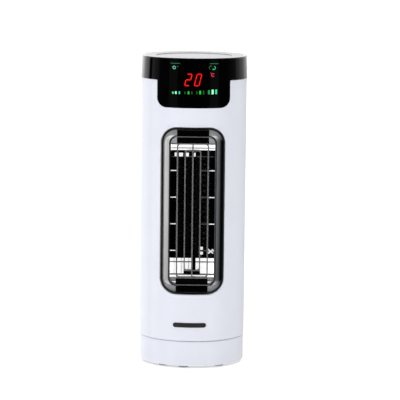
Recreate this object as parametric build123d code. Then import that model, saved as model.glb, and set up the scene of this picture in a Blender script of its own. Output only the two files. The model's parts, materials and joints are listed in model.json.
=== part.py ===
"""Oscillating ceramic tower heater, 467 mm tall.

Millimetres. The origin is on the floor at the middle of the base, +Z is up and the
warm air blows out towards -Y. The tower turns on the base about Z.
"""

import math
import os

from build123d import *

# Overall sizes
BODY_R = 80.0
WALL = 2.5
INNER_R = BODY_R - WALL
TOP_Z = 467.0
BODY_Z = 41.8
COLLAR_Z = 433.5

# Base
BASE_R = 79.2
BASE_Z = 3.5
DECK_Z = 41.0
DECK_T = 3.0
COVER_Z = 6.0
BASE_SCREW_R = 66.0
BASE_SCREW_ANGLES = (20, 160, 200, 340)
FOOT_SPREAD = 64.0
FOOT_ANGLES = (50, 130, 230, 310)
FOOT_R = 8.0
POST_R = 14.0
POST_BORE_R = 9.0
POST_Z = 48.0
GLIDE_R = (60.0, 66.0)
CORD_BORE_R = 3.65
CORD_Z = 22.0

# Swing drive
GEAR_MODULE = 1.0
GEAR_TEETH = 60
PINION_TEETH = 12
GEAR_ADDENDUM = 0.7
GEAR_DEDENDUM = 1.0
GEAR_THINNING = 0.06
GEAR_Z = (48.0, 53.0)
PRESSURE_ANGLE = math.radians(20)
DRIVE_Y = GEAR_MODULE * (GEAR_TEETH + PINION_TEETH) / 2
DRIVE_EAR_X = 17.5
RUNNING_FIT = 0.05

# Tip-over switch
PLUNGER_X = -11.0
PLUNGER_Y = -64.0
PLUNGER_TOP = 24.0
LEVER_PIVOT_X = 6.0
LEVER_PIVOT_Z = 25.0

# Turntable and shells
TABLE_R = 77.2
TABLE_Z = (41.8, 44.8)
TABLE_SCREW_R = 70.5
TABLE_SCREW_ANGLES = (45, 135, 225, 315)
SHELL_SCREW_X = 66.0
SHELL_SCREW_Z = (66.0, 240.0, 415.0)

# Collar, display tongue and top
COLLAR_R = (81.0, 79.35)
COLLAR_INNER_R = 77.6
TONGUE_HALF = 54.2
TONGUE_Z = 393.0
TONGUE_CORNER_R = 14.0
TONGUE_EASE = 5.0
CAP_R = 78.1
CAP_Z = (463.0, 466.8)
RECESS_R = 57.5
RECESS_Z = 465.3
KEY_RING_R = 45.0
KEY_STEP = 15.0
KEY_R = 4.3

# Outlet
OUTLET_Z = 238.35
RIDGE_HALF_X = 34.0
RIDGE_HALF_Z = 111.75
RIDGE_CORNER_R = 10.0
RIDGE_Y = -76.5
FLARE = 10.0
FLANK_Y = RIDGE_Y + FLARE
RIM = 14.0
BRIDGE_HALF_X = 24.0
DUCT_Y = (-60.0, -12.0)
RAIL_PITCH = 40.2
RAIL_HALF = 0.7
SILL_Z = 142.3

# Heating element
HEATER_X = 33.0
HEATER_Y = (-40.0, -20.0)
HEATER_Z = (167.0, 315.0)
BLOCK_Y = (-46.0, -16.0)
WIRE_SLOT_X = (-0.6, 5.5)
COMB_Z = (163.0, HEATER_Z[0], HEATER_Z[1], 327.0)
LEAD_X = ((-27.6, -24.6), (-21.1, -15.2), (-10.5, -6.4), (1.4, 3.8))
LEAD_Z = (317.4, 322.8)
TERMINAL_X = ((10.8, 16.2), (24.4, 31.8))
TERMINAL_PADS_Z = (168.6, 176.1)
PTC_COUNT = 4
PTC_T = 3.5
FIN_PITCH = 4.0
FIN_T = 1.2

# Fan
FAN_Y = 20.0
FAN_R = 28.0
FAN_Z = (150.0, 330.0)
BLADES = 26
SHAFT_R = 2.5
STATOR_Z = (105.0, 125.0)

# Rear
HANDLE_HALF_X = 36.0
HANDLE_Z = (384.0, 416.0)
HANDLE_Y = 48.0
FILTER_HALF_X = 48.0
FILTER_Z = (128.0, 352.0)
SLAT_PITCH = 7.0
ROCKER_Z = 96.0
ROCKER_PIVOT_Y = 73.5
ROCKER_TILT = 10.0


def disc(r, z0, z1, x=0.0, y=0.0):
    """Upright cylinder between two heights."""
    return Pos(x, y, z0) * Cylinder(r, z1 - z0, align=(Align.CENTER, Align.CENTER, Align.MIN))


def tube(r_out, r_in, z0, z1, x=0.0, y=0.0):
    """Upright ring between two heights."""
    return disc(r_out, z0, z1, x, y) - disc(r_in, z0 - 1, z1 + 1, x, y)


def block(x0, x1, y0, y1, z0, z1):
    """Box from its corner coordinates."""
    corner = (Align.MIN, Align.MIN, Align.MIN)
    return Pos(x0, y0, z0) * Box(x1 - x0, y1 - y0, z1 - z0, align=corner)


def rod_y(r, y0, y1, x, z):
    """Cylinder lying along Y."""
    return Pos(x, y0, z) * Rot(-90, 0, 0) * Cylinder(r, y1 - y0, align=(Align.CENTER, Align.CENTER, Align.MIN))


def rod_x(r, x0, x1, y, z):
    """Cylinder lying along X."""
    return Pos(x0, y, z) * Rot(0, 90, 0) * Cylinder(r, x1 - x0, align=(Align.CENTER, Align.CENTER, Align.MIN))


def polar(radius, degrees):
    """X and Y of a point on a circle round the axis."""
    return radius * math.cos(math.radians(degrees)), radius * math.sin(math.radians(degrees))


def prism_y(sketch, y0, y1):
    """A flat outline drawn in X and Z, made solid from y0 to y1."""
    return extrude(Plane.XZ.offset(-y1) * sketch, amount=y1 - y0)


def prism_z(points, z0, z1):
    """A closed outline drawn in X and Y, made solid from z0 to z1."""
    face = make_face(Polyline(*points, close=True))
    return extrude(Pos(0, 0, z0) * face, amount=z1 - z0)


def total(shapes):
    """Everything in a list joined in one step."""
    return shapes[0] + shapes[1:] if len(shapes) > 1 else shapes[0]


def slotted_screw(head_r, head_h, shank_r, length):
    """Pan head screw pointing down from z = 0, head above it."""
    head = fillet(disc(head_r, 0, head_h).edges().group_by(Axis.Z)[-1], head_h * 0.4)
    cross = block(-head_r, head_r, -0.35, 0.35, head_h * 0.55, head_h + 1)
    cross_b = block(-0.35, 0.35, -head_r, head_r, head_h * 0.55, head_h + 1)
    tip = chamfer(disc(shank_r, -length, 0).edges().group_by(Axis.Z)[0], shank_r * 0.4)
    return head + tip - cross - cross_b


def flush_screw(head_r, head_h, shank_r, length):
    """Countersunk screw pointing up from z = 0, its flat head at the bottom."""
    middle = (Align.CENTER, Align.CENTER, Align.MIN)
    head = Cone(head_r, shank_r, head_h, align=middle)
    shank = disc(shank_r, 0, length)
    slot = block(-head_r * 0.7, head_r * 0.7, -0.4, 0.4, -1, head_h * 0.4)
    return head + shank - slot


# ---------------------------------------------------------------- base


def base_screw_set():
    """Four countersunk screws that hold the bottom cover."""
    screw = flush_screw(3.0, 1.6, 1.5, 12.5)
    spots = [polar(BASE_SCREW_R, a) for a in BASE_SCREW_ANGLES]
    return total([Pos(x, y, BASE_Z) * screw for x, y in spots])


def base_screw_space():
    """The room the cover screws take, without their driver slots."""
    middle = (Align.CENTER, Align.CENTER, Align.MIN)
    screw = Cone(3.0, 1.5, 1.6, align=middle) + disc(1.5, 0, 12.5)
    spots = [polar(BASE_SCREW_R, a) for a in BASE_SCREW_ANGLES]
    return total([Pos(x, y, BASE_Z) * screw for x, y in spots])


def gear_screw_set():
    """Three pan head screws that hold the ring gear on the pivot post."""
    screw = slotted_screw(2.0, 1.3, 1.0, 10.0)
    spots = [polar(11.5, a) for a in (30, 150, 270)]
    return total([Pos(x, y, GEAR_Z[1]) * screw for x, y in spots])


def gear_screw_space():
    """Shank room of the gear screws."""
    return total([disc(1.0, GEAR_Z[1] - 10.0, GEAR_Z[1] + 1, *polar(11.5, a)) for a in (30, 150, 270)])


def base_shell():
    """White round base: skirt, deck and the hollow post the tower turns on."""
    body = disc(BASE_R, BASE_Z, DECK_Z)
    body = fillet(body.edges().group_by(Axis.Z)[-1], 1.2)
    body = fillet(body.edges().group_by(Axis.Z)[0], 1.2)
    body -= disc(BASE_R - WALL, BASE_Z - 1, DECK_Z - DECK_T)
    body += disc(POST_R, DECK_Z - DECK_T, POST_Z)
    body -= tube(GLIDE_R[1], GLIDE_R[0], DECK_Z - 1, DECK_Z + 1)
    body -= disc(POST_BORE_R, BASE_Z, POST_Z + 1)
    for angle in BASE_SCREW_ANGLES:
        x, y = polar(BASE_SCREW_R, angle)
        body += disc(4.0, COVER_Z, DECK_Z - DECK_T, x, y)
    body -= base_screw_space()
    body -= gear_screw_space()
    body -= block(-11, 11, 78.4, 82, CORD_Z - 11, CORD_Z + 11)
    body -= rod_y(7.05, 60, 82, 0, CORD_Z)
    return body


def base_cover():
    """Flat bottom plate with foot pockets, screw holes and the plunger hole."""
    plate = disc(BASE_R - WALL - 0.2, BASE_Z, COVER_Z)
    for angle in FOOT_ANGLES:
        plate -= disc(FOOT_R + 0.05, BASE_Z - 1, BASE_Z + 1, *polar(FOOT_SPREAD, angle))
    plate -= disc(3.3, BASE_Z - 1, COVER_Z + 1, PLUNGER_X, PLUNGER_Y)
    plate -= base_screw_space()
    for angle in range(0, 360, 60):
        x, y = polar(24, angle)
        plate -= Pos(x, y, BASE_Z) * Rot(0, 0, angle) * Box(16, 3, 10)
    return plate


def feet():
    """Four rubber feet in their pockets."""
    foot = fillet(disc(FOOT_R, 0, BASE_Z + 1).edges().group_by(Axis.Z)[0], 0.8)
    return total([Pos(*polar(FOOT_SPREAD, a), 0) * foot for a in FOOT_ANGLES])


def glide_ring():
    """Low friction ring in the deck groove that carries the turntable."""
    ring = tube(GLIDE_R[1] - 0.1, GLIDE_R[0] + 0.1, DECK_Z - 1, BODY_Z - RUNNING_FIT)
    return chamfer(ring.edges().group_by(Axis.Z)[-1], 0.3)


def involute_outline(teeth, phase):
    """Points of a spur gear outline, one tooth centred on the phase angle in degrees."""
    pitch_r = GEAR_MODULE * teeth / 2
    base_r = pitch_r * math.cos(PRESSURE_ANGLE)
    tip_r = pitch_r + GEAR_ADDENDUM
    root_r = pitch_r - GEAR_DEDENDUM
    start_r = max(base_r, root_r)
    half = math.pi / (2 * teeth) - GEAR_THINNING / pitch_r
    half += math.tan(PRESSURE_ANGLE) - PRESSURE_ANGLE
    flank = []
    if root_r < start_r:
        flank.append((root_r, half - _involute(start_r, base_r)))
    for step in range(4):
        radius = start_r + (tip_r - start_r) * step / 3
        flank.append((radius, half - _involute(radius, base_r)))
    points = []
    for tooth in range(teeth):
        middle = math.radians(phase) + 2 * math.pi * tooth / teeth
        for radius, angle in flank:
            points.append((radius * math.cos(middle - angle), radius * math.sin(middle - angle)))
        for radius, angle in reversed(flank):
            points.append((radius * math.cos(middle + angle), radius * math.sin(middle + angle)))
    return points


def _involute(radius, base_r):
    """Involute angle at a radius."""
    roll = math.acos(min(1.0, base_r / radius))
    return math.tan(roll) - roll


def swing_gear():
    """Fixed ring gear on the post; it also keeps the turntable down."""
    gear = prism_z(involute_outline(GEAR_TEETH, 90), *GEAR_Z)
    gear -= disc(POST_BORE_R, GEAR_Z[0] - 1, GEAR_Z[1] + 1)
    gear -= tube(26.0, 16.0, GEAR_Z[0] + 2.0, GEAR_Z[1] + 1)
    for angle in range(0, 360, 60):
        gear -= disc(3.0, GEAR_Z[0] - 1, GEAR_Z[1] + 1, *polar(21, angle))
    return gear - gear_screw_space()


def tip_switch_housing():
    """Frame inside the base that guides the tip-over plunger and carries its switch."""
    plate = block(-20, 22, -72, -56, COVER_Z, 8.0)
    plate += disc(7.0, COVER_Z, 18.5, PLUNGER_X, PLUNGER_Y)
    plate += block(0, 20, -67.2, -60.8, 8.0, 12.0)
    plate -= disc(5.4, COVER_Z - 1, 17.0, PLUNGER_X, PLUNGER_Y)
    plate -= disc(3.3, COVER_Z - 1, 19.0, PLUNGER_X, PLUNGER_Y)
    return plate


def tip_microswitch():
    """Snap switch block with the two lugs of its lever."""
    body = block(0, 20, -67.2, -60.8, 12.0, 22.0)
    for y in (-67.2, -62.0):
        lug = block(4.6, 7.4, y, y + 1.2, 22.0, 26.4)
        body += lug
    for x in (2.5, 10.0, 17.5):
        body += block(x - 0.4, x + 0.4, -60.8, -56.5, 14.0, 18.0)
    return body - rod_y(0.6 + RUNNING_FIT, -68, -60, LEVER_PIVOT_X, LEVER_PIVOT_Z)


def tip_switch_lever():
    """Sprung blade over the plunger, with its pivot pin."""
    blade = block(-11.6, 7.0, -65.5, -62.5, PLUNGER_TOP + 0.3, PLUNGER_TOP + 0.8)
    boss = rod_y(1.2, -65.5, -62.5, LEVER_PIVOT_X, LEVER_PIVOT_Z)
    pin = rod_y(0.6, -66.9, -61.1, LEVER_PIVOT_X, LEVER_PIVOT_Z)
    return blade + boss + pin


def tip_plunger():
    """Foot button that the floor holds up while the heater stands."""
    pad = fillet(disc(7.5, 0, 2.5).edges(), 0.6)
    stem = disc(3.0, 2.0, PLUNGER_TOP)
    collar = disc(5.0, 12.0, 13.5)
    return Pos(PLUNGER_X, PLUNGER_Y, 0) * (pad + stem + collar)


def tip_spring():
    """Compression spring between the plunger collar and the housing top."""
    turns = 3
    height = 17.0 - 13.5
    wire_r = 0.3
    mean_r = 4.2
    path = Helix((height - 2 * wire_r - 0.1) / turns, height - 2 * wire_r - 0.1, mean_r)
    section = Plane(path @ 0, z_dir=path % 0) * Circle(wire_r)
    return Pos(PLUNGER_X, PLUNGER_Y, 13.5 + wire_r + 0.05) * sweep(section, path)


def cord_gland():
    """Inlet for the mains cord at the back of the base, clamped by its own nut."""
    gland = rod_y(7.0, 70.5, 79, 0, CORD_Z)
    gland += rod_y(9.5, 78.4, 80.4, 0, CORD_Z)
    nut = extrude(Plane.XZ.offset(-76.0) * Pos(0, CORD_Z) * RegularPolygon(9.5, 6), amount=3.5)
    gland += nut
    return gland - rod_y(CORD_BORE_R, 60, 82, 0, CORD_Z)


# ---------------------------------------------------------------- turntable and swing drive


def table_screw_space():
    """The room the turntable screws take."""
    middle = (Align.CENTER, Align.CENTER, Align.MIN)
    screw = Cone(3.0, 1.4, 1.6, align=middle) + disc(1.4, 0, 11.0)
    return total([Pos(*polar(TABLE_SCREW_R, a), TABLE_Z[0]) * screw for a in TABLE_SCREW_ANGLES])


def turntable_screws():
    """Four countersunk screws from below into the shells."""
    screw = flush_screw(3.0, 1.6, 1.4, 11.0)
    return total([Pos(*polar(TABLE_SCREW_R, a), TABLE_Z[0]) * screw for a in TABLE_SCREW_ANGLES])


def turntable():
    """Floor of the tower, turning round the pivot post."""
    table = disc(TABLE_R, *TABLE_Z) + disc(17.0, TABLE_Z[1], POST_Z - 0.3)
    for side in (-1, 1):
        table += disc(3.5, TABLE_Z[1], 56.0, side * DRIVE_EAR_X, DRIVE_Y)
        x0, x1 = sorted((side * 40.0, side * 44.0))
        table += block(x0, x1, -54, -48, TABLE_Z[1], 110)
    table -= disc(POST_R + RUNNING_FIT, TABLE_Z[0] - 1, POST_Z)
    table -= table_screw_space()
    return table - drive_screw_space()


def drive_screw_space():
    """Shank room of the two motor screws."""
    return total([disc(1.3, 48, 58, side * DRIVE_EAR_X, DRIVE_Y) for side in (-1, 1)])


def swing_motor():
    """Geared synchronous motor standing on two posts, shaft down."""
    can = fillet(disc(14.0, 57, 76, 0, DRIVE_Y).edges().group_by(Axis.Z)[-1], 1.0)
    flange = disc(14.0, 56, 57, 0, DRIVE_Y)
    flange += block(-DRIVE_EAR_X, DRIVE_EAR_X, DRIVE_Y - 3.5, DRIVE_Y + 3.5, 56, 57)
    for side in (-1, 1):
        flange += disc(3.5, 56, 57, side * DRIVE_EAR_X, DRIVE_Y)
    nose = disc(4.5, 54.5, 56, 0, DRIVE_Y)
    plug = block(-7.5, 7.5, DRIVE_Y + 12, DRIVE_Y + 18, 60, 72)
    motor = can + flange + nose + plug
    motor -= disc(SHAFT_R + RUNNING_FIT, 54, 60, 0, DRIVE_Y)
    return motor - drive_screw_space()


def swing_motor_screws():
    """Two pan head screws through the motor ears."""
    screw = slotted_screw(2.6, 1.6, 1.3, 9.0)
    return total([Pos(side * DRIVE_EAR_X, DRIVE_Y, 57) * screw for side in (-1, 1)])


def swing_pinion():
    """Pinion on the motor shaft, walking round the fixed ring gear."""
    pinion = prism_z(involute_outline(PINION_TEETH, 270 + 180 / PINION_TEETH), GEAR_Z[0] + 0.4, GEAR_Z[1] - 0.3)
    pinion += disc(4.6, GEAR_Z[1] - 0.4, 54.1)
    pinion += disc(SHAFT_R, 54.0, 59.5)
    return Pos(0, DRIVE_Y, 0) * pinion


# ---------------------------------------------------------------- shells


def shell_screw_space():
    """Shank room of the screws that join the two shells."""
    return total([rod_y(1.5, -11, 31, s * SHELL_SCREW_X, z) for s in (-1, 1) for z in SHELL_SCREW_Z])


def shell_screws():
    """Six pan head screws deep in the rear bosses."""
    screw = Rot(-90, 0, 0) * slotted_screw(2.9, 2.0, 1.5, 41.5)
    return total([Pos(s * SHELL_SCREW_X, 31, z) * screw for s in (-1, 1) for z in SHELL_SCREW_Z])


def table_bosses(angles):
    """Screw bosses at the foot of a shell, tied to its wall."""
    parts = []
    for angle in angles:
        x, y = polar(TABLE_SCREW_R, angle)
        parts.append(disc(4.0, TABLE_Z[1], 58, x, y))
        rib = Rot(0, 0, angle) * block(TABLE_SCREW_R, INNER_R + 0.3, -1.2, 1.2, TABLE_Z[1] + 0.5, 56)
        parts.append(rib & disc(INNER_R + 0.5, 40, 60))
    return parts


def outline(grow):
    """Outlet outline in X and Z, the ridge outline grown by so much."""
    width = 2 * (RIDGE_HALF_X + grow)
    height = 2 * (RIDGE_HALF_Z + grow)
    return Pos(0, OUTLET_Z) * RectangleRounded(width, height, RIDGE_CORNER_R + grow)


def tongue_outline(grow):
    """Outline of the display tongue, running up past the collar."""
    height = 90.0 + 2 * grow
    shape = RectangleRounded(2 * (TONGUE_HALF + grow), height, TONGUE_CORNER_R + grow)
    return Pos(0, TONGUE_Z - grow + height / 2) * shape


def front_shell():
    """Front half of the white tower skin."""
    shell = tube(BODY_R, INNER_R, BODY_Z, COLLAR_Z) & block(-90, 90, -90, 0, BODY_Z, COLLAR_Z)
    shell -= prism_y(tongue_outline(0.2), -90, -30)
    shell -= prism_y(outline(RIM + 0.2), -90, -30)
    for side in (-1, 1):
        for z in SHELL_SCREW_Z:
            boss = rod_y(4.2, -14, 0, side * SHELL_SCREW_X, z)
            x0, x1 = sorted((side * SHELL_SCREW_X, side * 78.5))
            rib = block(x0, x1, -14, 0, z - 1.5, z + 1.5) & disc(INNER_R + 0.5, 40, 440)
            shell += boss + rib
    shell += table_bosses(TABLE_SCREW_ANGLES[2:])
    shell -= shell_screw_space()
    return shell - table_screw_space()


def rear_shell():
    """Rear half of the skin with the intake window, handle and switch openings."""
    shell = tube(BODY_R, INNER_R, BODY_Z, COLLAR_Z) & block(-90, 90, 0, 90, BODY_Z, COLLAR_Z)
    for side in (-1, 1):
        for z in SHELL_SCREW_Z:
            shell += rod_y(5.4, 0, 60, side * SHELL_SCREW_X, z) & disc(INNER_R + 1, 40, 440)
            shell -= rod_y(3.9, 31, 90, side * SHELL_SCREW_X, z)
    shell += table_bosses(TABLE_SCREW_ANGLES[:2])
    gap = 0.3
    shell -= block(-FILTER_HALF_X - gap, FILTER_HALF_X + gap, 40, 90, FILTER_Z[0] - gap, FILTER_Z[1] + gap)
    shell -= block(-HANDLE_HALF_X - 0.1, HANDLE_HALF_X + 0.1, 40, 90, HANDLE_Z[0] - 0.1, HANDLE_Z[1] + 0.1)
    shell -= block(-11.1, 11.1, 60, 90, ROCKER_Z - 14.1, ROCKER_Z + 14.1)
    shell -= shell_screw_space()
    return shell - table_screw_space()


def nameplate():
    """Plain pill-shaped plate low on the front, left blank."""
    pill = Pos(-2.6, 66.0) * RectangleRounded(50, 7, 3.4)
    return prism_y(pill, -90, -40) & tube(BODY_R + 0.5, BODY_R, 50, 80)


# ---------------------------------------------------------------- top


def top_collar():
    """Black gloss ring round the top with the display tongue hanging from it."""
    inner = [
        (CAP_R + 0.1, TOP_Z),
        (CAP_R + 0.1, CAP_Z[0]),
        (COLLAR_INNER_R, CAP_Z[0]),
        (COLLAR_INNER_R, COLLAR_Z),
        (COLLAR_R[0], COLLAR_Z),
        (COLLAR_R[1] + 0.12, TOP_Z - 2.4),
    ]
    crown = ThreePointArc(inner[-1], (COLLAR_R[1] - 0.22, TOP_Z - 0.62), inner[0])
    face = make_face(Plane.XZ * (Polyline(*inner) + crown))
    ring = revolve(face, Axis.Z)
    sides = Polyline(
        (COLLAR_R[0], TONGUE_Z + TONGUE_EASE),
        (COLLAR_R[0], COLLAR_Z + 0.01),
        (COLLAR_INNER_R, COLLAR_Z + 0.01),
        (COLLAR_INNER_R, TONGUE_Z),
        (COLLAR_R[0] - 0.9, TONGUE_Z),
    )
    ease = ThreePointArc((COLLAR_R[0] - 0.9, TONGUE_Z), (COLLAR_R[0] - 0.25, TONGUE_Z + 2.2), sides @ 0)
    band = revolve(make_face(Plane.XZ * (sides + ease)), Axis.Z)
    tongue = prism_y(tongue_outline(0), -90, -30) & band
    return ring + tongue


def key_spots():
    """Centres of the five keys on their arc."""
    return [polar(KEY_RING_R, -90 + KEY_STEP * k) for k in (-2, -1, 0, 1, 2)]


def top_cap():
    """White lid with a shallow round recess and five key holes."""
    cap = disc(CAP_R, *CAP_Z)
    cap = fillet(cap.edges().group_by(Axis.Z)[-1], 0.5)
    cap -= disc(RECESS_R, RECESS_Z, TOP_Z)
    for x, y in key_spots():
        cap -= disc(KEY_R + 0.3, 455, TOP_Z, x, y)
    for x, y in ((-26, -47), (26, -47), (-5.8, -35), (5.8, -35)):
        cap += disc(2.5, 457.6, CAP_Z[0], x, y)
    cap += tube(76.5, 74.5, 455, CAP_Z[0])
    return cap - block(-42, 42, -80, -56, 450, CAP_Z[0])


def key(index):
    """One round key with its retaining flange and stem."""
    x, y = key_spots()[index]
    button = fillet(disc(KEY_R, 462.0, 466.0).edges().group_by(Axis.Z)[-1], 0.5)
    button += disc(5.1, 461.7, 462.7)
    button += disc(2.0, 460.6, 462.0)
    return Pos(x, y, 0) * button


def key_board():
    """Circuit board under the keys."""
    return block(-29, 29, -50, -33, 456.0, 457.6)


def key_switches():
    """Five tact switches on the key board."""
    switches = []
    for x, y in key_spots():
        body = block(x - 3, x + 3, y - 3, y + 3, 457.6, 459.1)
        switches.append(body + disc(1.6, 459.1, 459.6, x, y))
    return total(switches)


def display_board():
    """Upright circuit board behind the tongue."""
    return block(-38, 38, -67.0, -65.4, 404, 461.5)


def led_display():
    """Light guide block with the digit, bar and icon cells, filling the tongue's back."""
    guide = block(-37, 37, -80, -67, 410, 461.0) & disc(COLLAR_INNER_R - 0.05, 400, 463)
    for x in (-7.8, 6.5):
        guide -= block(x - 5.0, x + 5.0, -90, -74.5, 427, 434)
        guide -= block(x - 5.0, x + 5.0, -90, -74.5, 437, 444)
    return guide


# ---------------------------------------------------------------- outlet


def outlet_bezel():
    """Flat-faced black frame: rim on the round body, flared flanks, ridge and throat."""
    frame = prism_y(outline(RIM), -90, -50) & tube(80.35, 76.2, 100, 380)
    frame += prism_y(outline(RIM + 4), -90, -50) & tube(INNER_R - 0.05, 75.6, 100, 380)
    frame += prism_y(outline(FLARE + 1.8), -90, FLANK_Y + 3.3) & disc(78.5, 100, 380)
    frame -= prism_y(outline(FLARE + 0.2), -91, FLANK_Y)
    flank = extrude(Plane.XZ.offset(-FLANK_Y - 1.0) * outline(FLARE + 1.0), amount=FLARE + 1.0, taper=45)
    frame += flank
    frame += bridge(1) + bridge(-1)
    frame += prism_y(outline(0), RIDGE_Y - 0.5, RIDGE_Y + 0.5)
    frame -= extrude(Plane.XZ.offset(-FLANK_Y - 3.5) * outline(FLARE - 0.3), amount=FLARE - 0.3, taper=45)
    frame += prism_y(outline(1.2), RIDGE_Y + 0.3, DUCT_Y[0])
    return frame - prism_y(outline(-1.0), -90, -50)


def bridge(side):
    """Solid ramp between rim and ridge at the top (1) or bottom (-1) of the outlet."""
    near = OUTLET_Z + side * (RIDGE_HALF_Z - 0.5)
    far = OUTLET_Z + side * (RIDGE_HALF_Z + FLARE + 0.5)
    points = [(RIDGE_Y + 0.2, near), (-79.2, far), (-66, far), (-66, near)]
    face = make_face(Plane.YZ * Polyline(*points, close=True))
    ramp = extrude(Pos(-BRIDGE_HALF_X, 0, 0) * face, amount=2 * BRIDGE_HALF_X, dir=(1, 0, 0))
    return ramp & disc(79.6, 100, 380)


def loop(half_x, half_z, corner, width):
    """Closed rounded bar outline in X and Z."""
    outer = RectangleRounded(2 * half_x + width, 2 * half_z + width, corner + width / 2)
    inner = RectangleRounded(2 * half_x - width, 2 * half_z - width, corner - width / 2)
    return Pos(0, OUTLET_Z) * (outer - inner)


def outlet_grille():
    """Nested upright loops with a middle bar, end plates and four cross rails."""
    grille = prism_y(loop(23.0, 100.7, 4.5, 2.0), -74.2, -66.5)
    grille += prism_y(loop(11.5, 90.3, 3.5, 1.8), -70.5, -64.0)
    grille += block(-12.4, 12.4, -70.5, -64.0, SILL_Z, OUTLET_Z - 90.0)
    grille += block(-1.0, 1.0, -74.2, -66.5, OUTLET_Z - 100.7, OUTLET_Z + 100.7)
    for side in (-1, 1):
        z0, z1 = sorted((OUTLET_Z + side * 100.9, OUTLET_Z + side * (RIDGE_HALF_Z - 1.0)))
        grille += block(-BRIDGE_HALF_X, BRIDGE_HALF_X, -75.6, -71.0, z0, z1)
    for k in (-1.5, -0.5, 0.5, 1.5):
        z = OUTLET_Z + k * RAIL_PITCH
        grille += block(-33.0, 33.0, -69.5, -66.5, z - RAIL_HALF, z + RAIL_HALF)
    return grille


def air_duct():
    """White square duct from the fan to the outlet, with the heater's end blocks."""
    z0 = OUTLET_Z - RIDGE_HALF_Z + 1.0
    z1 = OUTLET_Z + RIDGE_HALF_Z - 1.0
    duct = block(-35, 35, *DUCT_Y, z0 - 2, z1 + 2)
    duct -= block(-33, 33, DUCT_Y[0] - 1, DUCT_Y[1] + 1, z0, z1)
    lower = block(-33, 33, *BLOCK_Y, z0 - 0.1, COMB_Z[0])
    lower -= block(-34, 34, -47, -45.2, 156.3, 158.4)
    lower -= block(-34, 34, -47, -40, 137.2, 139.6)
    lower -= block(-34, 34, -47, -43, z0 - 1, 134.2)
    for x in (-27.0, -16.0, -5.0):
        lower -= block(x - 0.5, x + 0.5, -47, -45.2, 140, COMB_Z[0] + 1)
    lower -= block(*WIRE_SLOT_X, -47, -40, 138, COMB_Z[0] + 1)
    upper = block(-33, 33, *BLOCK_Y, COMB_Z[3], z1 + 0.1)
    upper -= block(-34, 34, -47, -45.2, 329.4, 330.8)
    upper -= block(-34, 34, -47, -40, 335.2, 336.8)
    upper -= block(-34, 34, -47, -43, 336, z1 + 1)
    return duct + lower + upper


def heater_combs():
    """Black end combs that hold the fins and the ceramic strips."""
    combs = []
    for z0, z1 in (COMB_Z[:2], COMB_Z[2:]):
        comb = block(-HEATER_X, HEATER_X, -44, -18, z0, z1)
        for k in range(9):
            x = -28.8 + 7.2 * k
            comb -= block(x - 1.6, x + 1.6, -43, -41.5, z0 - 1, z1 + 1)
        combs.append(comb)
    return combs[0] + combs[1]


def heater_leads():
    """White insulating ends of the strips, standing out of the upper comb."""
    z0, z1 = LEAD_Z
    return total([block(x0, x1, -45.6, -44.0, z0, z1) for x0, x1 in LEAD_X])


def heater_terminals():
    """Pale ceramic terminals in front of the lower comb: a stepped post and a crossed clip."""
    x0, x1 = TERMINAL_X[0]
    post = block(x0 + 0.6, x1 - 0.6, -45.0, -44.0, COMB_Z[0], 180.0)
    for z in TERMINAL_PADS_Z:
        post += block(x0, x1, -46.6, -44.6, z, z + 4.2)
    x0, x1 = TERMINAL_X[1]
    middle = ((x0 + x1) / 2, -45.4, 173.6)
    clip = block(middle[0] - 1.2, middle[0] + 1.2, -44.8, -44.0, COMB_Z[0], middle[2])
    for angle in (-48, 48):
        arm = Box(1.7, 1.6, 9.6)
        clip += Pos(*middle) * Rot(0, angle, 0) * arm
    return total([post, clip])


def fin_column_width():
    """Width left for each corrugated fin between the ceramic strips."""
    return (2 * HEATER_X - PTC_COUNT * PTC_T) / (PTC_COUNT + 1)


def ptc_fins():
    """Five corrugated aluminium fins."""
    width = fin_column_width()
    count = int((HEATER_Z[1] - HEATER_Z[0]) / FIN_PITCH)
    columns = []
    for column in range(PTC_COUNT + 1):
        left = -HEATER_X + column * (width + PTC_T)
        front = []
        back = []
        for k in range(count + 1):
            z = HEATER_Z[0] + k * FIN_PITCH
            edge = left if k % 2 == 0 else left + width - FIN_T
            front.append((edge, z))
            back.append((edge + FIN_T, z))
        face = make_face(Polyline(*front, *reversed(back), close=True))
        columns.append(prism_y(face, *HEATER_Y))
    return total(columns)


def ptc_elements():
    """Four flat tubes holding the self-regulating ceramic."""
    width = fin_column_width()
    strips = []
    for k in range(PTC_COUNT):
        left = -HEATER_X + (k + 1) * width + k * PTC_T
        strips.append(block(left, left + PTC_T, *HEATER_Y, *HEATER_Z))
    return total(strips)


def thermal_cutout():
    """Resettable over-temperature switch on the side of the duct."""
    body = rod_x(7.0, 35.0, 41.0, -34.0, 230.0)
    return body + block(35.0, 36.0, -37.0, -31.0, 216.0, 244.0)


# ---------------------------------------------------------------- fan


def spiral_wall():
    """Rear guide wall of the cross-flow fan, opening towards the duct."""
    inner = []
    outer = []
    for step in range(13):
        angle = 62 - step * 8
        radius = 30.0 + 4.6 * step / 12
        inner.append(polar(radius, angle))
        outer.append(polar(radius + 1.8, angle))
    inner = [(x, y + FAN_Y) for x, y in inner]
    outer = [(x, y + FAN_Y) for x, y in outer]
    inner.append((33.0, DUCT_Y[1]))
    outer.append((35.0, DUCT_Y[1]))
    return prism_z(inner + outer[::-1], 147, 333)


def stabiliser():
    """Cut-off lip close to the fan on the other side."""
    points = [(-35, -12), (-33, -12), (-31.0, -2), (-29.6, 10), (-31.2, 11), (-33.5, 0)]
    return prism_z(points, 147, 333)


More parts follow.
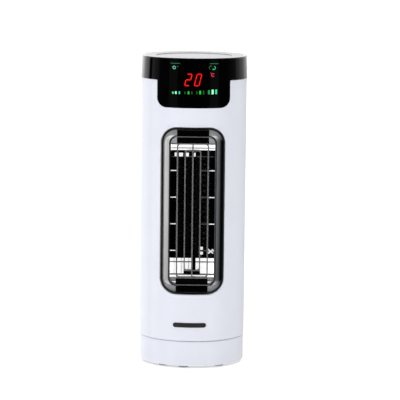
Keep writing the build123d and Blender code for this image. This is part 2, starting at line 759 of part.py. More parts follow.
def fan_scroll():
    """Fan housing: guide wall, lip and the two end plates with their side arms."""
    scroll = spiral_wall() + stabiliser()
    for z0, z1 in ((144, 147), (333, 336)):
        plate = block(-36, 36, DUCT_Y[1], 48, z0, z1)
        plate += block(-77, 77, 8, 18, z0, z1) & disc(INNER_R - 0.05, 100, 400)
        scroll += plate - disc(6.0, z0 - 1, z1 + 1, 0, FAN_Y)
    scroll -= fan_screw_space()
    return scroll


def fan_screw_space():
    """Shank room of the fan motor screws."""
    return total([Pos(0, FAN_Y, 0) * disc(1.2, 131, 146, *polar(29.5, a)) for a in (0, 120, 240)])


def fan_impeller():
    """Long cross-flow wheel: three rings and curved blades."""
    blade_shapes = []
    for k in range(BLADES):
        angle = 360 / BLADES * k
        points = [
            polar(21.0, angle - 2.0),
            polar(24.5, angle + 1.6),
            polar(27.6, angle + 7.5),
            polar(27.6, angle + 9.0),
            polar(24.3, angle + 3.8),
            polar(21.0, angle + 0.4),
        ]
        blade_shapes.append(prism_z(points, FAN_Z[0] + 0.5, FAN_Z[1] - 0.5))
    wheel = disc(FAN_R, FAN_Z[0], FAN_Z[0] + 2) + disc(FAN_R, FAN_Z[1] - 2, FAN_Z[1])
    wheel += tube(FAN_R, 20.0, 239, 241)
    wheel = wheel + blade_shapes
    wheel += disc(6.0, FAN_Z[0], FAN_Z[0] + 10) + disc(6.0, FAN_Z[1] - 10, FAN_Z[1])
    wheel -= disc(SHAFT_R, FAN_Z[0] - 1, FAN_Z[1] + 1)
    return Pos(0, FAN_Y, 0) * wheel


def fan_shaft():
    """Steel shaft through the motor and the wheel."""
    return chamfer(disc(SHAFT_R, 95, 341, 0, FAN_Y).edges(), 0.4)


def motor_rotor():
    """Squirrel cage rotor with cast end rings."""
    rotor = disc(12.9, STATOR_Z[0], STATOR_Z[1]) + tube(12.0, 8.0, 102.5, 127.5)
    rotor -= disc(SHAFT_R, 100, 130)
    return Pos(0, FAN_Y, 0) * rotor


def motor_stator():
    """Laminated ring with twelve slots."""
    stator = tube(23.8, 13.2, *STATOR_Z)
    for k in range(12):
        slot = block(14.5, 20.5, -1.6, 1.6, STATOR_Z[0] - 1, STATOR_Z[1] + 1)
        stator -= Rot(0, 0, 30 * k) * slot
    return Pos(0, FAN_Y, 0) * stator


def motor_coil():
    """Copper windings: two end turns joined through the slots."""
    coil = tube(21.5, 14.6, 100.5, STATOR_Z[0]) + tube(21.5, 14.6, STATOR_Z[1], 129.5)
    for k in range(12):
        coil += Rot(0, 0, 30 * k) * block(14.8, 20.3, -1.4, 1.4, STATOR_Z[0] - 0.1, STATOR_Z[1] + 0.1)
    return Pos(0, FAN_Y, 0) * coil


def motor_can():
    """Pressed cup round the stator with the lower bearing boss."""
    can = disc(26.0, 97, 131) - disc(23.8, 99, 132)
    can = fillet(can.edges().group_by(Axis.Z)[0], 1.5)
    can += disc(7.0, 98, 101)
    can -= disc(SHAFT_R + RUNNING_FIT, 90, 110)
    return Pos(0, FAN_Y, 0) * can


def motor_bracket():
    """Top plate of the motor with three posts up to the fan housing."""
    plate = disc(26.0, 131, 133)
    for angle in (0, 120, 240):
        x, y = polar(29.5, angle)
        plate += disc(3.6, 131, 144, x, y)
        plate += Rot(0, 0, angle) * block(20, 29.5, -3.6, 3.6, 131, 133)
    plate -= disc(SHAFT_R + RUNNING_FIT, 120, 140)
    return Pos(0, FAN_Y, 0) * plate - fan_screw_space()


def motor_screws():
    """Three long screws from under the motor ears."""
    screw = Rot(180, 0, 0) * slotted_screw(2.4, 1.6, 1.2, 14.5)
    return total([Pos(0, FAN_Y, 131) * Pos(*polar(29.5, a), 0) * screw for a in (0, 120, 240)])


def fan_bearing():
    """Sleeve bearing cup on the upper plate."""
    cup = disc(9.0, 336, 338) + disc(6.0, 336, 343)
    return Pos(0, FAN_Y, 0) * (cup - disc(SHAFT_R + RUNNING_FIT, 330, 341.5))


# ---------------------------------------------------------------- electronics


def power_board():
    """Mains circuit board between the two turntable posts."""
    return block(-40, 40, -52.0, -50.4, 60, 118)


def board_parts():
    """Relays, capacitor, transformer, fuse and connectors."""
    parts = [
        block(-36, -20, -50.4, -38, 64, 84),
        block(-16, 0, -50.4, -38, 64, 84),
        block(6, 32, -50.4, -36, 66, 86),
        rod_y(6.0, -50.4, -34, -28, 98),
        rod_y(4.0, -50.4, -38, -12, 98),
        block(0, 20, -50.4, -44, 94, 102),
        block(24, 36, -50.4, -40, 94, 112),
        block(-36, -8, -50.4, -45, 109, 115),
    ]
    return total(parts)


# ---------------------------------------------------------------- rear


def handle_cup():
    """Finger recess let into the rear shell."""
    cup = block(-HANDLE_HALF_X, HANDLE_HALF_X, HANDLE_Y, 90, *HANDLE_Z)
    cup &= disc(BODY_R, 370, 430)
    flange = block(-HANDLE_HALF_X - 3, HANDLE_HALF_X + 3, 50, 90, HANDLE_Z[0] - 3, HANDLE_Z[1] + 3)
    flange &= tube(INNER_R - 0.05, INNER_R - 1.8, 370, 430)
    cup += flange
    room = block(-HANDLE_HALF_X + 2, HANDLE_HALF_X - 2, HANDLE_Y + 2, 92, HANDLE_Z[0] + 2, HANDLE_Z[1] - 2)
    back = room.edges().filter_by(Axis.Z).group_by(Axis.Y)[0]
    return cup - fillet(back, 8.0)


def rocker_housing():
    """Mains switch body with a thin flange on the round wall."""
    body = block(-11, 11, 58, 79.6, ROCKER_Z - 14, ROCKER_Z + 14)
    flange = block(-13, 13, 78, 80.5, ROCKER_Z - 16, ROCKER_Z + 16) - disc(BODY_R, 60, 130)
    body &= disc(BODY_R + 0.01, 60, 130)
    body += flange
    body += block(-11, 11, 78, 80.5, ROCKER_Z - 14, ROCKER_Z + 14)
    body -= block(-8.3, 8.3, 63, 84, ROCKER_Z - 11, ROCKER_Z + 11)
    body -= rod_x(1.2 + RUNNING_FIT, -9.7, 9.7, ROCKER_PIVOT_Y, ROCKER_Z)
    for x in (-5, 5):
        body += block(x - 0.4, x + 0.4, 51, 58, ROCKER_Z - 3, ROCKER_Z + 3)
    return body


def rocker_key():
    """Rocking key of the mains switch, lying in its first position."""
    front = ROCKER_PIVOT_Y + 5.4
    points = [(-9.3, front), (9.3, front), (9.3, front - 3.0), (3.0, 69.0), (-3.0, 69.0), (-9.3, front - 3.0)]
    profile = [(y, z) for z, y in points]
    face = make_face(Plane.YZ * Polyline(*profile, close=True))
    body = extrude(Pos(-8.0, 0, 0) * face, amount=16.0)
    body = fillet(body.edges().filter_by(Axis.X).group_by(Axis.Y)[-1], 0.8)
    body += rod_x(1.2, -9.5, 9.5, ROCKER_PIVOT_Y, 0)
    pivot = Pos(0, ROCKER_PIVOT_Y, 0)
    tilted = pivot * Rot(-ROCKER_TILT, 0, 0) * Pos(0, -ROCKER_PIVOT_Y, 0) * body
    return Pos(0, 0, ROCKER_Z) * tilted


def filter_cover():
    """Rear intake panel with level slots and a finger notch."""
    half = FILTER_HALF_X
    panel = block(-half, half, 40, 90, *FILTER_Z) & tube(BODY_R, 77.7, 100, 380)
    slots = []
    rows = int((FILTER_Z[1] - FILTER_Z[0] - 24) / SLAT_PITCH) + 1
    for row in range(rows):
        z = FILTER_Z[0] + 12 + row * SLAT_PITCH
        for x in (-30.6, -10.2, 10.2, 30.6):
            slots.append(Pos(x, z) * SlotOverall(17.4, 3.6))
    panel -= prism_y(total(slots), 50, 90)
    for x in (-44.0, 42.0):
        for z in (150.0, 240.0, 330.0):
            panel += block(x, x + 2.0, 62.9, 66.2, z - 3, z + 3)
    return panel


def filter_mesh():
    """Washable dust filter in a thin frame behind the panel."""
    plate = block(-45, 45, 60.9, 62.9, 134, 346)
    holes = []
    for row in range(14):
        for column in range(5):
            holes.append(Pos(-34.0 + 17.0 * column, 148.5 + 14.0 * row) * Rectangle(14.6, 11.6))
    return plate - prism_y(total(holes), 55, 70)


KEYS = ("key_power", "key_mode", "key_minus", "key_plus", "key_swing")

PARTS = {
    "base_shell": base_shell,
    "base_cover": base_cover,
    "feet": feet,
    "base_screws": base_screw_set,
    "glide_ring": glide_ring,
    "swing_gear": swing_gear,
    "gear_screws": gear_screw_set,
    "tip_switch_housing": tip_switch_housing,
    "tip_microswitch": tip_microswitch,
    "tip_spring": tip_spring,
    "tip_plunger": tip_plunger,
    "tip_switch_lever": tip_switch_lever,
    "cord_gland": cord_gland,
    "turntable": turntable,
    "turntable_screws": turntable_screws,
    "swing_motor": swing_motor,
    "swing_motor_screws": swing_motor_screws,
    "swing_pinion": swing_pinion,
    "front_shell": front_shell,
    "rear_shell": rear_shell,
    "shell_screws": shell_screws,
    "nameplate": nameplate,
    "top_collar": top_collar,
    "top_cap": top_cap,
    "key_board": key_board,
    "key_switches": key_switches,
    "display_board": display_board,
    "led_display": led_display,
    "outlet_bezel": outlet_bezel,
    "outlet_grille": outlet_grille,
    "air_duct": air_duct,
    "heater_combs": heater_combs,
    "heater_leads": heater_leads,
    "heater_terminals": heater_terminals,
    "ptc_fins": ptc_fins,
    "ptc_elements": ptc_elements,
    "thermal_cutout": thermal_cutout,
    "fan_scroll": fan_scroll,
    "fan_impeller": fan_impeller,
    "fan_shaft": fan_shaft,
    "motor_rotor": motor_rotor,
    "motor_stator": motor_stator,
    "motor_coil": motor_coil,
    "motor_can": motor_can,
    "motor_bracket": motor_bracket,
    "motor_screws": motor_screws,
    "fan_bearing": fan_bearing,
    "power_board": power_board,
    "board_parts": board_parts,
    "handle_cup": handle_cup,
    "rocker_housing": rocker_housing,
    "rocker_key": rocker_key,
    "filter_cover": filter_cover,
    "filter_mesh": filter_mesh,
}


def main():
    """Write one STEP file for every piece."""
    os.makedirs("parts", exist_ok=True)
    for name, make in PARTS.items():
        export_step(make(), f"parts/{name}.step")
    for index, name in enumerate(KEYS):
        export_step(key(index), f"parts/{name}.step")


main()
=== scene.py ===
"""Looks for the ceramic tower heater: materials, fine pieces, lights and camera."""

import json
import math

import bmesh
import bpy
from mathutils import Matrix, Vector


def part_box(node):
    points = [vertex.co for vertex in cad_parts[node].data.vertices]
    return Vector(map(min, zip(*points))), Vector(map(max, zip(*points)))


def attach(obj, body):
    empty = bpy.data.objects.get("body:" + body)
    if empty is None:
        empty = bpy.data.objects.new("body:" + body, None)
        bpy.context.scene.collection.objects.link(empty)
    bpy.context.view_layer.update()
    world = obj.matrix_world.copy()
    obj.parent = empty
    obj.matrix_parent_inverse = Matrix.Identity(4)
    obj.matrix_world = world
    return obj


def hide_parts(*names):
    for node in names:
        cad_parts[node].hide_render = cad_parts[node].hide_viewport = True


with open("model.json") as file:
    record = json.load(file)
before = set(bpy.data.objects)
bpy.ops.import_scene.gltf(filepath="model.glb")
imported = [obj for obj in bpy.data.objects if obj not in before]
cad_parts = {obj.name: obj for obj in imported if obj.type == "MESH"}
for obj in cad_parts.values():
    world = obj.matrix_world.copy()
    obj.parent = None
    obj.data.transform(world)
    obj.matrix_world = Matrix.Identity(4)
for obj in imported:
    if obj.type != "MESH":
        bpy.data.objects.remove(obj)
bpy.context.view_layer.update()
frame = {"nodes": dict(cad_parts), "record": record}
NODES = frame["nodes"]
MM = 0.001


# ---------------------------------------------------------------- main sizes and places, from the frame

shell_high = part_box("front_shell")[1]
collar_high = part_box("top_collar")[1]
bezel_low, bezel_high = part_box("outlet_bezel")
combs_low, combs_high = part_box("heater_combs")
grille_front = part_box("outlet_grille")[0][1]
leads_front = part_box("heater_leads")[0][1]

SKIN_R = shell_high[0]
COLLAR_R = collar_high[0]
COLLAR_Z = shell_high[2]
TOP_Z = collar_high[2]
COLLAR_TOP_R = COLLAR_R - 1.65 * MM
OUTLET_Z = (bezel_low[2] + bezel_high[2]) / 2

# The ridge is the inner edge of the outlet's frame; the flank slopes back from it at 45 degrees.
RIDGE_X = 34.0 * MM
RIDGE_Z = 111.75 * MM
RIDGE_CORNER = 10.0 * MM
RIDGE_Y = -76.5 * MM
FLANK_Y = RIDGE_Y + 10.0 * MM

# Grille: the outer loops' fronts lie before OUTER_LOOP_Y, the cross rails' before RAIL_Y, and those of the
# inner loop at INNER_LOOP_Y. The rails' ends, with a bright painted highlight, start at RAIL_END_X, and
# their inner runs at the right, with a dim painted highlight, at RAIL_DIM_X.
# Up and down from the middle of the outlet, the inner loop's black sill starts at SILL_Z and the black end
# plates at PLATE_Z.
OUTER_LOOP_Y = grille_front + 1.55 * MM
INNER_LOOP_Y = grille_front + 5.1 * MM
RAIL_Y = grille_front + 6.35 * MM
RAIL_END_X = 24.6 * MM
RAIL_DIM_X = 12.6 * MM
SILL_Z = 91.3 * MM
PLATE_Z = 101.8 * MM

# Duct blocks above and below the heater, whose fronts stand a little before its combs.
BLOCK_Y = combs_low[1] - 2.0 * MM
BLOCK_GROOVES_Z = (combs_low[2] - 5.65 * MM, combs_high[2] + 3.1 * MM)
BLOCK_FOOT_Z = combs_low[2] - 28.5 * MM
WIRE_SLOT_X = 2.45 * MM
LEAD_Y = leads_front + 0.55 * MM


# ---------------------------------------------------------------- materials


class Shader:
    """One material's node tree, with short calls for the nodes used most."""

    def __init__(self, name):
        self.mat = bpy.data.materials.new(name)
        self.mat.use_nodes = True
        self.tree = self.mat.node_tree
        self.bsdf = self.tree.nodes["Principled BSDF"]
        self.coords = self.node("ShaderNodeTexCoord").outputs["Object"]

    def node(self, kind, **settings):
        made = self.tree.nodes.new(kind)
        for key, value in settings.items():
            setattr(made, key, value)
        return made

    def link(self, out, into):
        self.tree.links.new(out, into)

    def put(self, socket, value):
        """Set a constant on the main shader's own socket."""
        self.bsdf.inputs[socket].default_value = value

    def feed(self, socket, out):
        """Lead a node's output into the main shader."""
        self.link(out, self.bsdf.inputs[socket])

    def place(self):
        """X, Y and Z of the point on the part."""
        n = self.node("ShaderNodeSeparateXYZ")
        self.link(self.coords, n.inputs[0])
        return tuple(n.outputs)

    def noise(self, scale, detail=3.0, rough=0.5):
        n = self.node("ShaderNodeTexNoise")
        n.inputs["Scale"].default_value = scale
        n.inputs["Detail"].default_value = detail
        n.inputs["Roughness"].default_value = rough
        self.link(self.coords, n.inputs["Vector"])
        return n.outputs["Fac"]

    def calc(self, operation, a, b=0.0, c=0.0):
        n = self.node("ShaderNodeMath", operation=operation)
        for socket, value in zip(n.inputs, (a, b, c)):
            if isinstance(value, (int, float)):
                socket.default_value = value
            else:
                self.link(value, socket)
        return n.outputs[0]

    def above(self, value, limit):
        return self.calc("GREATER_THAN", value, limit)

    def below(self, value, limit):
        return self.calc("LESS_THAN", value, limit)

    def near(self, value, middle, reach):
        return self.calc("COMPARE", value, middle, reach)

    def either(self, a, b):
        return self.calc("MAXIMUM", a, b)

    def unless(self, mask):
        return self.calc("SUBTRACT", 1.0, mask)

    def times(self, first, *others):
        for other in others:
            first = self.calc("MULTIPLY", first, other)
        return first

    def off_middle(self, z):
        """Height above or below the middle of the outlet."""
        return self.calc("ABSOLUTE", self.calc("SUBTRACT", z, OUTLET_Z))

    def span(self, value, low, high, from_low=0.3, from_high=0.7):
        n = self.node("ShaderNodeMapRange")
        n.inputs["From Min"].default_value = from_low
        n.inputs["From Max"].default_value = from_high
        n.inputs["To Min"].default_value = low
        n.inputs["To Max"].default_value = high
        self.link(value, n.inputs["Value"])
        return n.outputs["Result"]

    def blend(self, fac, a, b):
        n = self.node("ShaderNodeMix", data_type="RGBA")
        self.link(fac, n.inputs["Factor"])
        for socket, value in ((n.inputs[6], a), (n.inputs[7], b)):
            if isinstance(value, tuple):
                socket.default_value = (*value, 1.0)
            else:
                self.link(value, socket)
        return n.outputs[2]

    def scaled(self, color, factor):
        """A colour made brighter or darker by a varying factor."""
        n = self.node("ShaderNodeVectorMath", operation="SCALE")
        if isinstance(color, tuple):
            n.inputs[0].default_value = color
        else:
            self.link(color, n.inputs[0])
        self.link(factor, n.inputs["Scale"])
        return n.outputs[0]

    def bump(self, height, strength, distance, below=None):
        n = self.node("ShaderNodeBump")
        n.inputs["Strength"].default_value = strength
        n.inputs["Distance"].default_value = distance
        self.link(height, n.inputs["Height"])
        if below is not None:
            self.link(below, n.inputs["Normal"])
        return n.outputs["Normal"]


def shade(color, factor):
    return tuple(min(1.0, c * factor) for c in color)


def grey(level):
    return (level, level, level)


def fill_ramp(ramp, stops):
    """Set a colour ramp to grey levels at positions."""
    while len(ramp.elements) > 1:
        ramp.elements.remove(ramp.elements[-1])
    ramp.elements[0].position = stops[0][0]
    ramp.elements[0].color = (*grey(stops[0][1]), 1.0)
    for position, level in stops[1:]:
        ramp.elements.new(position).color = (*grey(level), 1.0)


def plastic(name, color, rough, drift, rough_drift, grain, depth, strength, specular=0.5, coat=0.0):
    """Moulded plastic: faint tone drift, patchy sheen and a fine moulded grain of a depth in mm."""
    s = Shader(name)
    tone = s.span(s.noise(30.0, 4.0, 0.6), 0.0, 1.0)
    s.feed("Base Color", s.blend(tone, shade(color, 1 - drift), shade(color, 1 + drift)))
    s.feed("Roughness", s.span(s.noise(93.0, 5.0, 0.65), rough - rough_drift, rough + rough_drift))
    fine = s.bump(s.noise(grain, 2.0, 0.5), strength, depth * MM)
    s.feed("Normal", s.bump(s.noise(14.0, 1.0, 0.4), 0.15, 0.4 * MM, fine))
    s.put("Specular IOR Level", specular)
    s.put("Coat Weight", coat)
    s.put("Coat Roughness", 0.05)
    return s.mat


def metal(name, color, rough, grain, strength):
    """Plated or sintered metal with a fine grain and tarnish patches."""
    s = Shader(name)
    scratch = s.noise(grain, 3.0, 0.6)
    stain = s.span(s.noise(90.0, 5.0, 0.7), 0.0, 1.0)
    s.feed("Base Color", s.blend(stain, shade(color, 0.88), shade(color, 1.06)))
    s.feed("Roughness", s.span(scratch, rough - 0.08, rough + 0.12))
    s.feed("Normal", s.bump(scratch, strength, 0.03 * MM))
    s.put("Metallic", 1.0)
    return s.mat


def laminated(name, color):
    """Stacked steel sheets seen from the side."""
    s = Shader(name)
    wave = s.node("ShaderNodeTexWave", wave_type="BANDS", bands_direction="Z")
    wave.inputs["Scale"].default_value = 320.0
    s.link(s.coords, wave.inputs["Vector"])
    s.feed("Base Color", s.blend(wave.outputs["Fac"], shade(color, 0.55), color))
    s.feed("Roughness", s.span(s.noise(300.0), 0.35, 0.55))
    s.feed("Normal", s.bump(wave.outputs["Fac"], 0.5, 0.1 * MM))
    s.put("Metallic", 0.9)
    return s.mat


def windings(name, color):
    """Enamelled wire turns."""
    s = Shader(name)
    wave = s.node("ShaderNodeTexWave", wave_type="RINGS", rings_direction="Z")
    wave.inputs["Scale"].default_value = 260.0
    wave.inputs["Distortion"].default_value = 2.0
    s.link(s.coords, wave.inputs["Vector"])
    s.feed("Base Color", s.blend(wave.outputs["Fac"], shade(color, 0.45), color))
    s.feed("Normal", s.bump(wave.outputs["Fac"], 0.8, 0.2 * MM))
    s.feed("Roughness", s.span(s.noise(400.0), 0.25, 0.4))
    s.put("Metallic", 0.5)
    return s.mat


def circuit(name, color):
    """Solder resist with darker tracks and bright pads."""
    s = Shader(name)
    cells = s.node("ShaderNodeTexVoronoi", feature="DISTANCE_TO_EDGE", distance="MANHATTAN")
    cells.inputs["Scale"].default_value = 170.0
    s.link(s.coords, cells.inputs["Vector"])
    tracks = s.span(cells.outputs["Distance"], 0.0, 1.0, 0.04, 0.09)
    dots = s.node("ShaderNodeTexVoronoi", feature="F1")
    dots.inputs["Scale"].default_value = 330.0
    s.link(s.coords, dots.inputs["Vector"])
    pads = s.span(dots.outputs["Distance"], 1.0, 0.0, 0.10, 0.14)
    base = s.blend(tracks, shade(color, 1.9), color)
    s.feed("Base Color", s.blend(pads, base, (0.75, 0.74, 0.70)))
    s.feed("Normal", s.bump(tracks, 0.5, 0.04 * MM))
    s.feed("Roughness", s.span(s.noise(200.0), 0.3, 0.42))
    return s.mat


def lit(name, color, power):
    """Light cell behind smoked plastic, faintly grainy."""
    s = Shader(name)
    s.put("Base Color", (*shade(color, 0.2), 1.0))
    s.put("Roughness", 0.3)
    s.feed("Emission Color", s.scaled(color, s.span(s.noise(700.0, 2.0), 0.8, 1.1)))
    s.put("Emission Strength", power)
    return s.mat


def plating_with_painted_shade(name, warm, cool, rough):
    """Dark plating with a faint ripple. Painted shade darkens it to black at the right pocket and a little
    near the inner left edge; it is darker towards the bottom. A painted reflection tints it from grey at the
    left to blue grey at the right, and a painted glow lights its top and bottom.
    """
    s = Shader(name)
    x, _, z = s.place()
    # Painted shade: darker on the right flank, black at its right edge, darker at the inner left edge.
    across = s.span(x, 1.0, 0.34, 27.0 * MM, 38.0 * MM)
    edge = s.span(x, 1.0, 0.03, 39.0 * MM, 41.5 * MM)
    painted_inner_shade = s.span(x, 1.0, 0.78, -41.0 * MM, -34.5 * MM)
    down = s.span(z, 0.72, 1.0, 130.0 * MM, 260.0 * MM)
    stain = s.span(s.noise(60.0, 4.0, 0.6), 0.94, 1.06)
    # Painted reflection: grey at the left, turning blue grey at the right.
    painted_reflection_tint = s.blend(s.span(x, 0.0, 1.0, -20.0 * MM, 20.0 * MM), warm, cool)
    s.feed("Base Color", s.scaled(painted_reflection_tint, s.times(across, painted_inner_shade, down, edge, stain)))
    # Painted glow at the top and bottom of the flank, as a highlight.
    s.put("Emission Color", (0.93, 0.95, 1.0, 1.0))
    s.feed("Emission Strength", s.span(s.off_middle(z), 0.0, 0.17, 105.0 * MM, 114.0 * MM))
    s.feed("Roughness", s.span(s.noise(220.0, 4.0), rough - 0.03, rough + 0.05))
    s.feed("Normal", s.bump(s.noise(90.0, 1.0), 0.12, 0.2 * MM))
    s.put("Metallic", 0.55)
    return s.mat


def gloss(name, color, rough, stops):
    """Polished black: almost no reflection face on, a strong one at the edges, by levels over the facing."""
    s = Shader(name)
    tone = s.span(s.noise(50.0, 4.0), 0.0, 1.0)
    s.feed("Base Color", s.blend(tone, shade(color, 0.8), shade(color, 1.2)))
    s.put("Specular IOR Level", 0.0)
    s.put("Roughness", 0.6)
    mirror = s.node("ShaderNodeBsdfGlossy")
    mirror.inputs["Color"].default_value = (1.0, 1.0, 1.0, 1.0)
    s.link(s.span(s.noise(160.0, 5.0, 0.65), rough - 0.015, rough + 0.03), mirror.inputs["Roughness"])
    s.link(s.bump(s.noise(45.0, 1.0, 0.3), 0.06, 0.2 * MM), mirror.inputs["Normal"])
    facing = s.node("ShaderNodeLayerWeight")
    facing.inputs["Blend"].default_value = 0.5
    curve = s.node("ShaderNodeValToRGB")
    s.link(facing.outputs["Facing"], curve.inputs["Fac"])
    fill_ramp(curve.color_ramp, stops)
    both = s.node("ShaderNodeMixShader")
    s.link(curve.outputs["Color"], both.inputs["Fac"])
    s.link(s.bsdf.outputs["BSDF"], both.inputs[1])
    s.link(mirror.outputs["BSDF"], both.inputs[2])
    s.link(both.outputs["Shader"], s.tree.nodes["Material Output"].inputs["Surface"])
    return s.mat


def grille(name):
    """Black bars with painted highlights on their fronts, jet black plates, a painted glow on the rail ends
    beside the outer loop and a dimmer painted highlight on the rails' inner runs at the right.
    """
    s = Shader(name)
    x, y, z = s.place()
    upright = s.off_middle(z)
    # Painted highlight: the rails' ends beside the outer loop are pale grey and glow.
    end_glint = s.times(s.above(s.calc("ABSOLUTE", x), RAIL_END_X), s.below(y, RAIL_Y))
    inner = s.near(y, INNER_LOOP_Y, 0.15 * MM)
    in_front = s.either(s.below(y, OUTER_LOOP_Y), inner)
    sill = s.times(s.above(upright, SILL_Z), inner)
    # Painted highlight on the fronts of the bars; the end plates and the inner loop's sill stay black.
    bar_glint = s.times(in_front, s.below(upright, PLATE_Z), s.unless(sill))
    dark = s.blend(bar_glint, (0.0012, 0.0012, 0.0013), (0.13, 0.13, 0.135))
    # Dimmer painted highlight on the rails' inner runs at the right.
    beside = s.times(s.above(x, RAIL_DIM_X), s.above(y, INNER_LOOP_Y + 0.7 * MM))
    tone = s.blend(end_glint, s.blend(beside, dark, grey(0.07)), grey(0.85))
    s.feed("Emission Color", tone)
    s.feed("Emission Strength", s.times(end_glint, 0.3))
    s.feed("Base Color", s.scaled(tone, s.span(s.noise(260.0, 4.0), 0.85, 1.15)))
    s.feed("Roughness", s.span(s.noise(300.0, 4.0), 0.2, 0.3))
    s.feed("Specular IOR Level", s.span(bar_glint, 0.1, 0.9, 0.0, 1.0))
    s.feed("Normal", s.bump(s.noise(900.0, 2.0), 0.15, 0.02 * MM))
    return s.mat


def duct(name):
    """White plastic with a painted glow on its front faces, painted shade on faces set back, below the
    blocks' foot, in its grooves and in the wire slot, and near black over the element's height.
    """
    s = Shader(name)
    x, y, z = s.place()
    # Near black over the element's height.
    hidden = s.times(s.above(z, combs_low[2] + 1.0 * MM), s.below(z, combs_high[2] - 1.0 * MM))
    low_groove, high_groove = (s.near(z, middle, 1.2 * MM) for middle in BLOCK_GROOVES_Z)
    # Painted shade in the grooves across the blocks.
    groove_shade = s.times(s.either(low_groove, high_groove), s.above(y, BLOCK_Y + 0.3 * MM))
    # Painted shade on faces set back from the fronts and below the blocks' foot.
    far = s.either(s.above(y, BLOCK_Y + 2.4 * MM), s.below(z, BLOCK_FOOT_Z))
    # Painted shadow in the wire slot of the lower block.
    slot_shade = s.times(s.near(x, WIRE_SLOT_X, 3.3 * MM), s.above(y, BLOCK_Y + 0.5 * MM), s.below(z, OUTLET_Z))
    tone = s.blend(far, (0.90, 0.90, 0.89), (0.42, 0.42, 0.43))
    tone = s.blend(groove_shade, tone, (0.30, 0.30, 0.42))
    tone = s.blend(s.either(hidden, slot_shade), tone, grey(0.002))
    s.feed("Base Color", s.scaled(tone, s.span(s.noise(30.0, 4.0, 0.6), 0.97, 1.03)))
    # Painted glow on the front faces, away from the element's height.
    s.put("Emission Color", (1.0, 0.99, 0.98, 1.0))
    s.feed("Emission Strength", s.times(s.below(y, BLOCK_Y + 0.1 * MM), s.unless(hidden), 0.6))
    s.feed("Roughness", s.span(s.noise(90.0, 4.0), 0.44, 0.56))
    s.feed("Specular IOR Level", s.span(hidden, 0.4, 0.05, 0.0, 1.0))
    s.feed("Normal", s.bump(s.noise(1100.0, 2.0), 0.3, 0.03 * MM))
    return s.mat


def cap(name):
    """Pale grey satin top whose rounded outer edge is painted whiter as a highlight."""
    s = Shader(name)
    x, y, _ = s.place()
    radius = s.calc("SQRT", s.calc("ADD", s.times(x, x), s.times(y, y)))
    # Painted highlight: whiter beyond this radius, on the rounded edge.
    edge = s.span(radius, 0.0, 1.0, 74.8 * MM, 75.6 * MM)
    tone = s.blend(edge, (0.545, 0.545, 0.56), (0.84, 0.84, 0.85))
    s.feed("Base Color", s.scaled(tone, s.span(s.noise(30.0, 4.0, 0.6), 0.985, 1.015)))
    s.feed("Roughness", s.span(s.noise(93.0, 5.0, 0.65), 0.38, 0.46))
    s.put("Specular IOR Level", 0.3)
    s.feed("Normal", s.bump(s.noise(1500.0, 2.0), 0.25, 0.02 * MM))
    return s.mat


def comb(name):
    """Sooty black moulding with a painted highlight line along the upper one's inner edge."""
    s = Shader(name)
    _, _, z = s.place()
    # Painted highlight in a line along the upper comb's inner edge.
    inner_edge = s.near(z, combs_high[2] - 10.1 * MM, 0.7 * MM)
    painted_glint = s.times(inner_edge, s.span(s.noise(160.0, 4.0, 0.6), 0.5, 1.4))
    s.feed("Base Color", s.blend(painted_glint, grey(0.0015), grey(0.11)))
    s.feed("Roughness", s.span(s.noise(400.0, 3.0), 0.55, 0.7))
    s.put("Specular IOR Level", 0.08)
    s.feed("Normal", s.bump(s.noise(1200.0, 2.0), 0.3, 0.03 * MM))
    return s.mat


def lead_white(name, strength):
    """Bare white ceramic whose fronts have a painted glow, as if light fell in through the grille; behind
    them it is painted black as shade.
    """
    s = Shader(name)
    _, y, _ = s.place()
    # Painted light and shade: the fronts are pale and glow, the faces behind them painted black.
    front = s.below(y, LEAD_Y)
    grain = s.noise(500.0, 4.0, 0.6)
    pale = s.blend(s.span(grain, 0.0, 1.0), (0.80, 0.80, 0.79), (0.92, 0.92, 0.91))
    s.feed("Base Color", s.blend(front, grey(0.01), pale))
    s.feed("Roughness", s.span(grain, 0.5, 0.7))
    s.feed("Normal", s.bump(s.noise(2200.0, 2.0), 0.5, 0.05 * MM))
    s.put("Emission Color", (1.0, 1.0, 0.99, 1.0))
    s.feed("Emission Strength", s.times(front, strength))
    return s.mat


def ridge_painted_glints(name):
    """Ridge round the grille: black, with painted highlights along its top and bottom runs, fainter on the
    right.
    """
    s = Shader(name)
    x, _, z = s.place()
    # Painted highlight on the ridge's top and bottom runs and, faintly, on its right side.
    flat = s.above(s.off_middle(z), RIDGE_Z - 0.75 * MM)
    right = s.times(s.above(x, RIDGE_X - 1.0 * MM), 0.35)
    painted_glint = s.times(s.either(flat, right), s.span(s.noise(120.0, 4.0), 0.8, 1.2))
    s.feed("Base Color", s.blend(painted_glint, grey(0.001), (0.13, 0.13, 0.135)))
    s.feed("Roughness", s.span(s.noise(300.0, 4.0), 0.3, 0.42))
    s.put("Specular IOR Level", 0.12)
    s.feed("Normal", s.bump(s.noise(900.0, 2.0), 0.15, 0.02 * MM))
    return s.mat


# How much the two polished blacks reflect, from face on (0) to edge on (1).
SMOKED_STOPS = (
    (0.0, 0.003), (0.25, 0.004), (0.33, 0.010), (0.45, 0.032), (0.6, 0.13), (0.8, 0.55), (0.92, 0.95),
    (1.0, 1.0),
)
BEZEL_STOPS = ((0.0, 0.004), (0.25, 0.03), (0.45, 0.11), (0.6, 0.2), (0.8, 0.4), (0.92, 0.7), (1.0, 1.0))

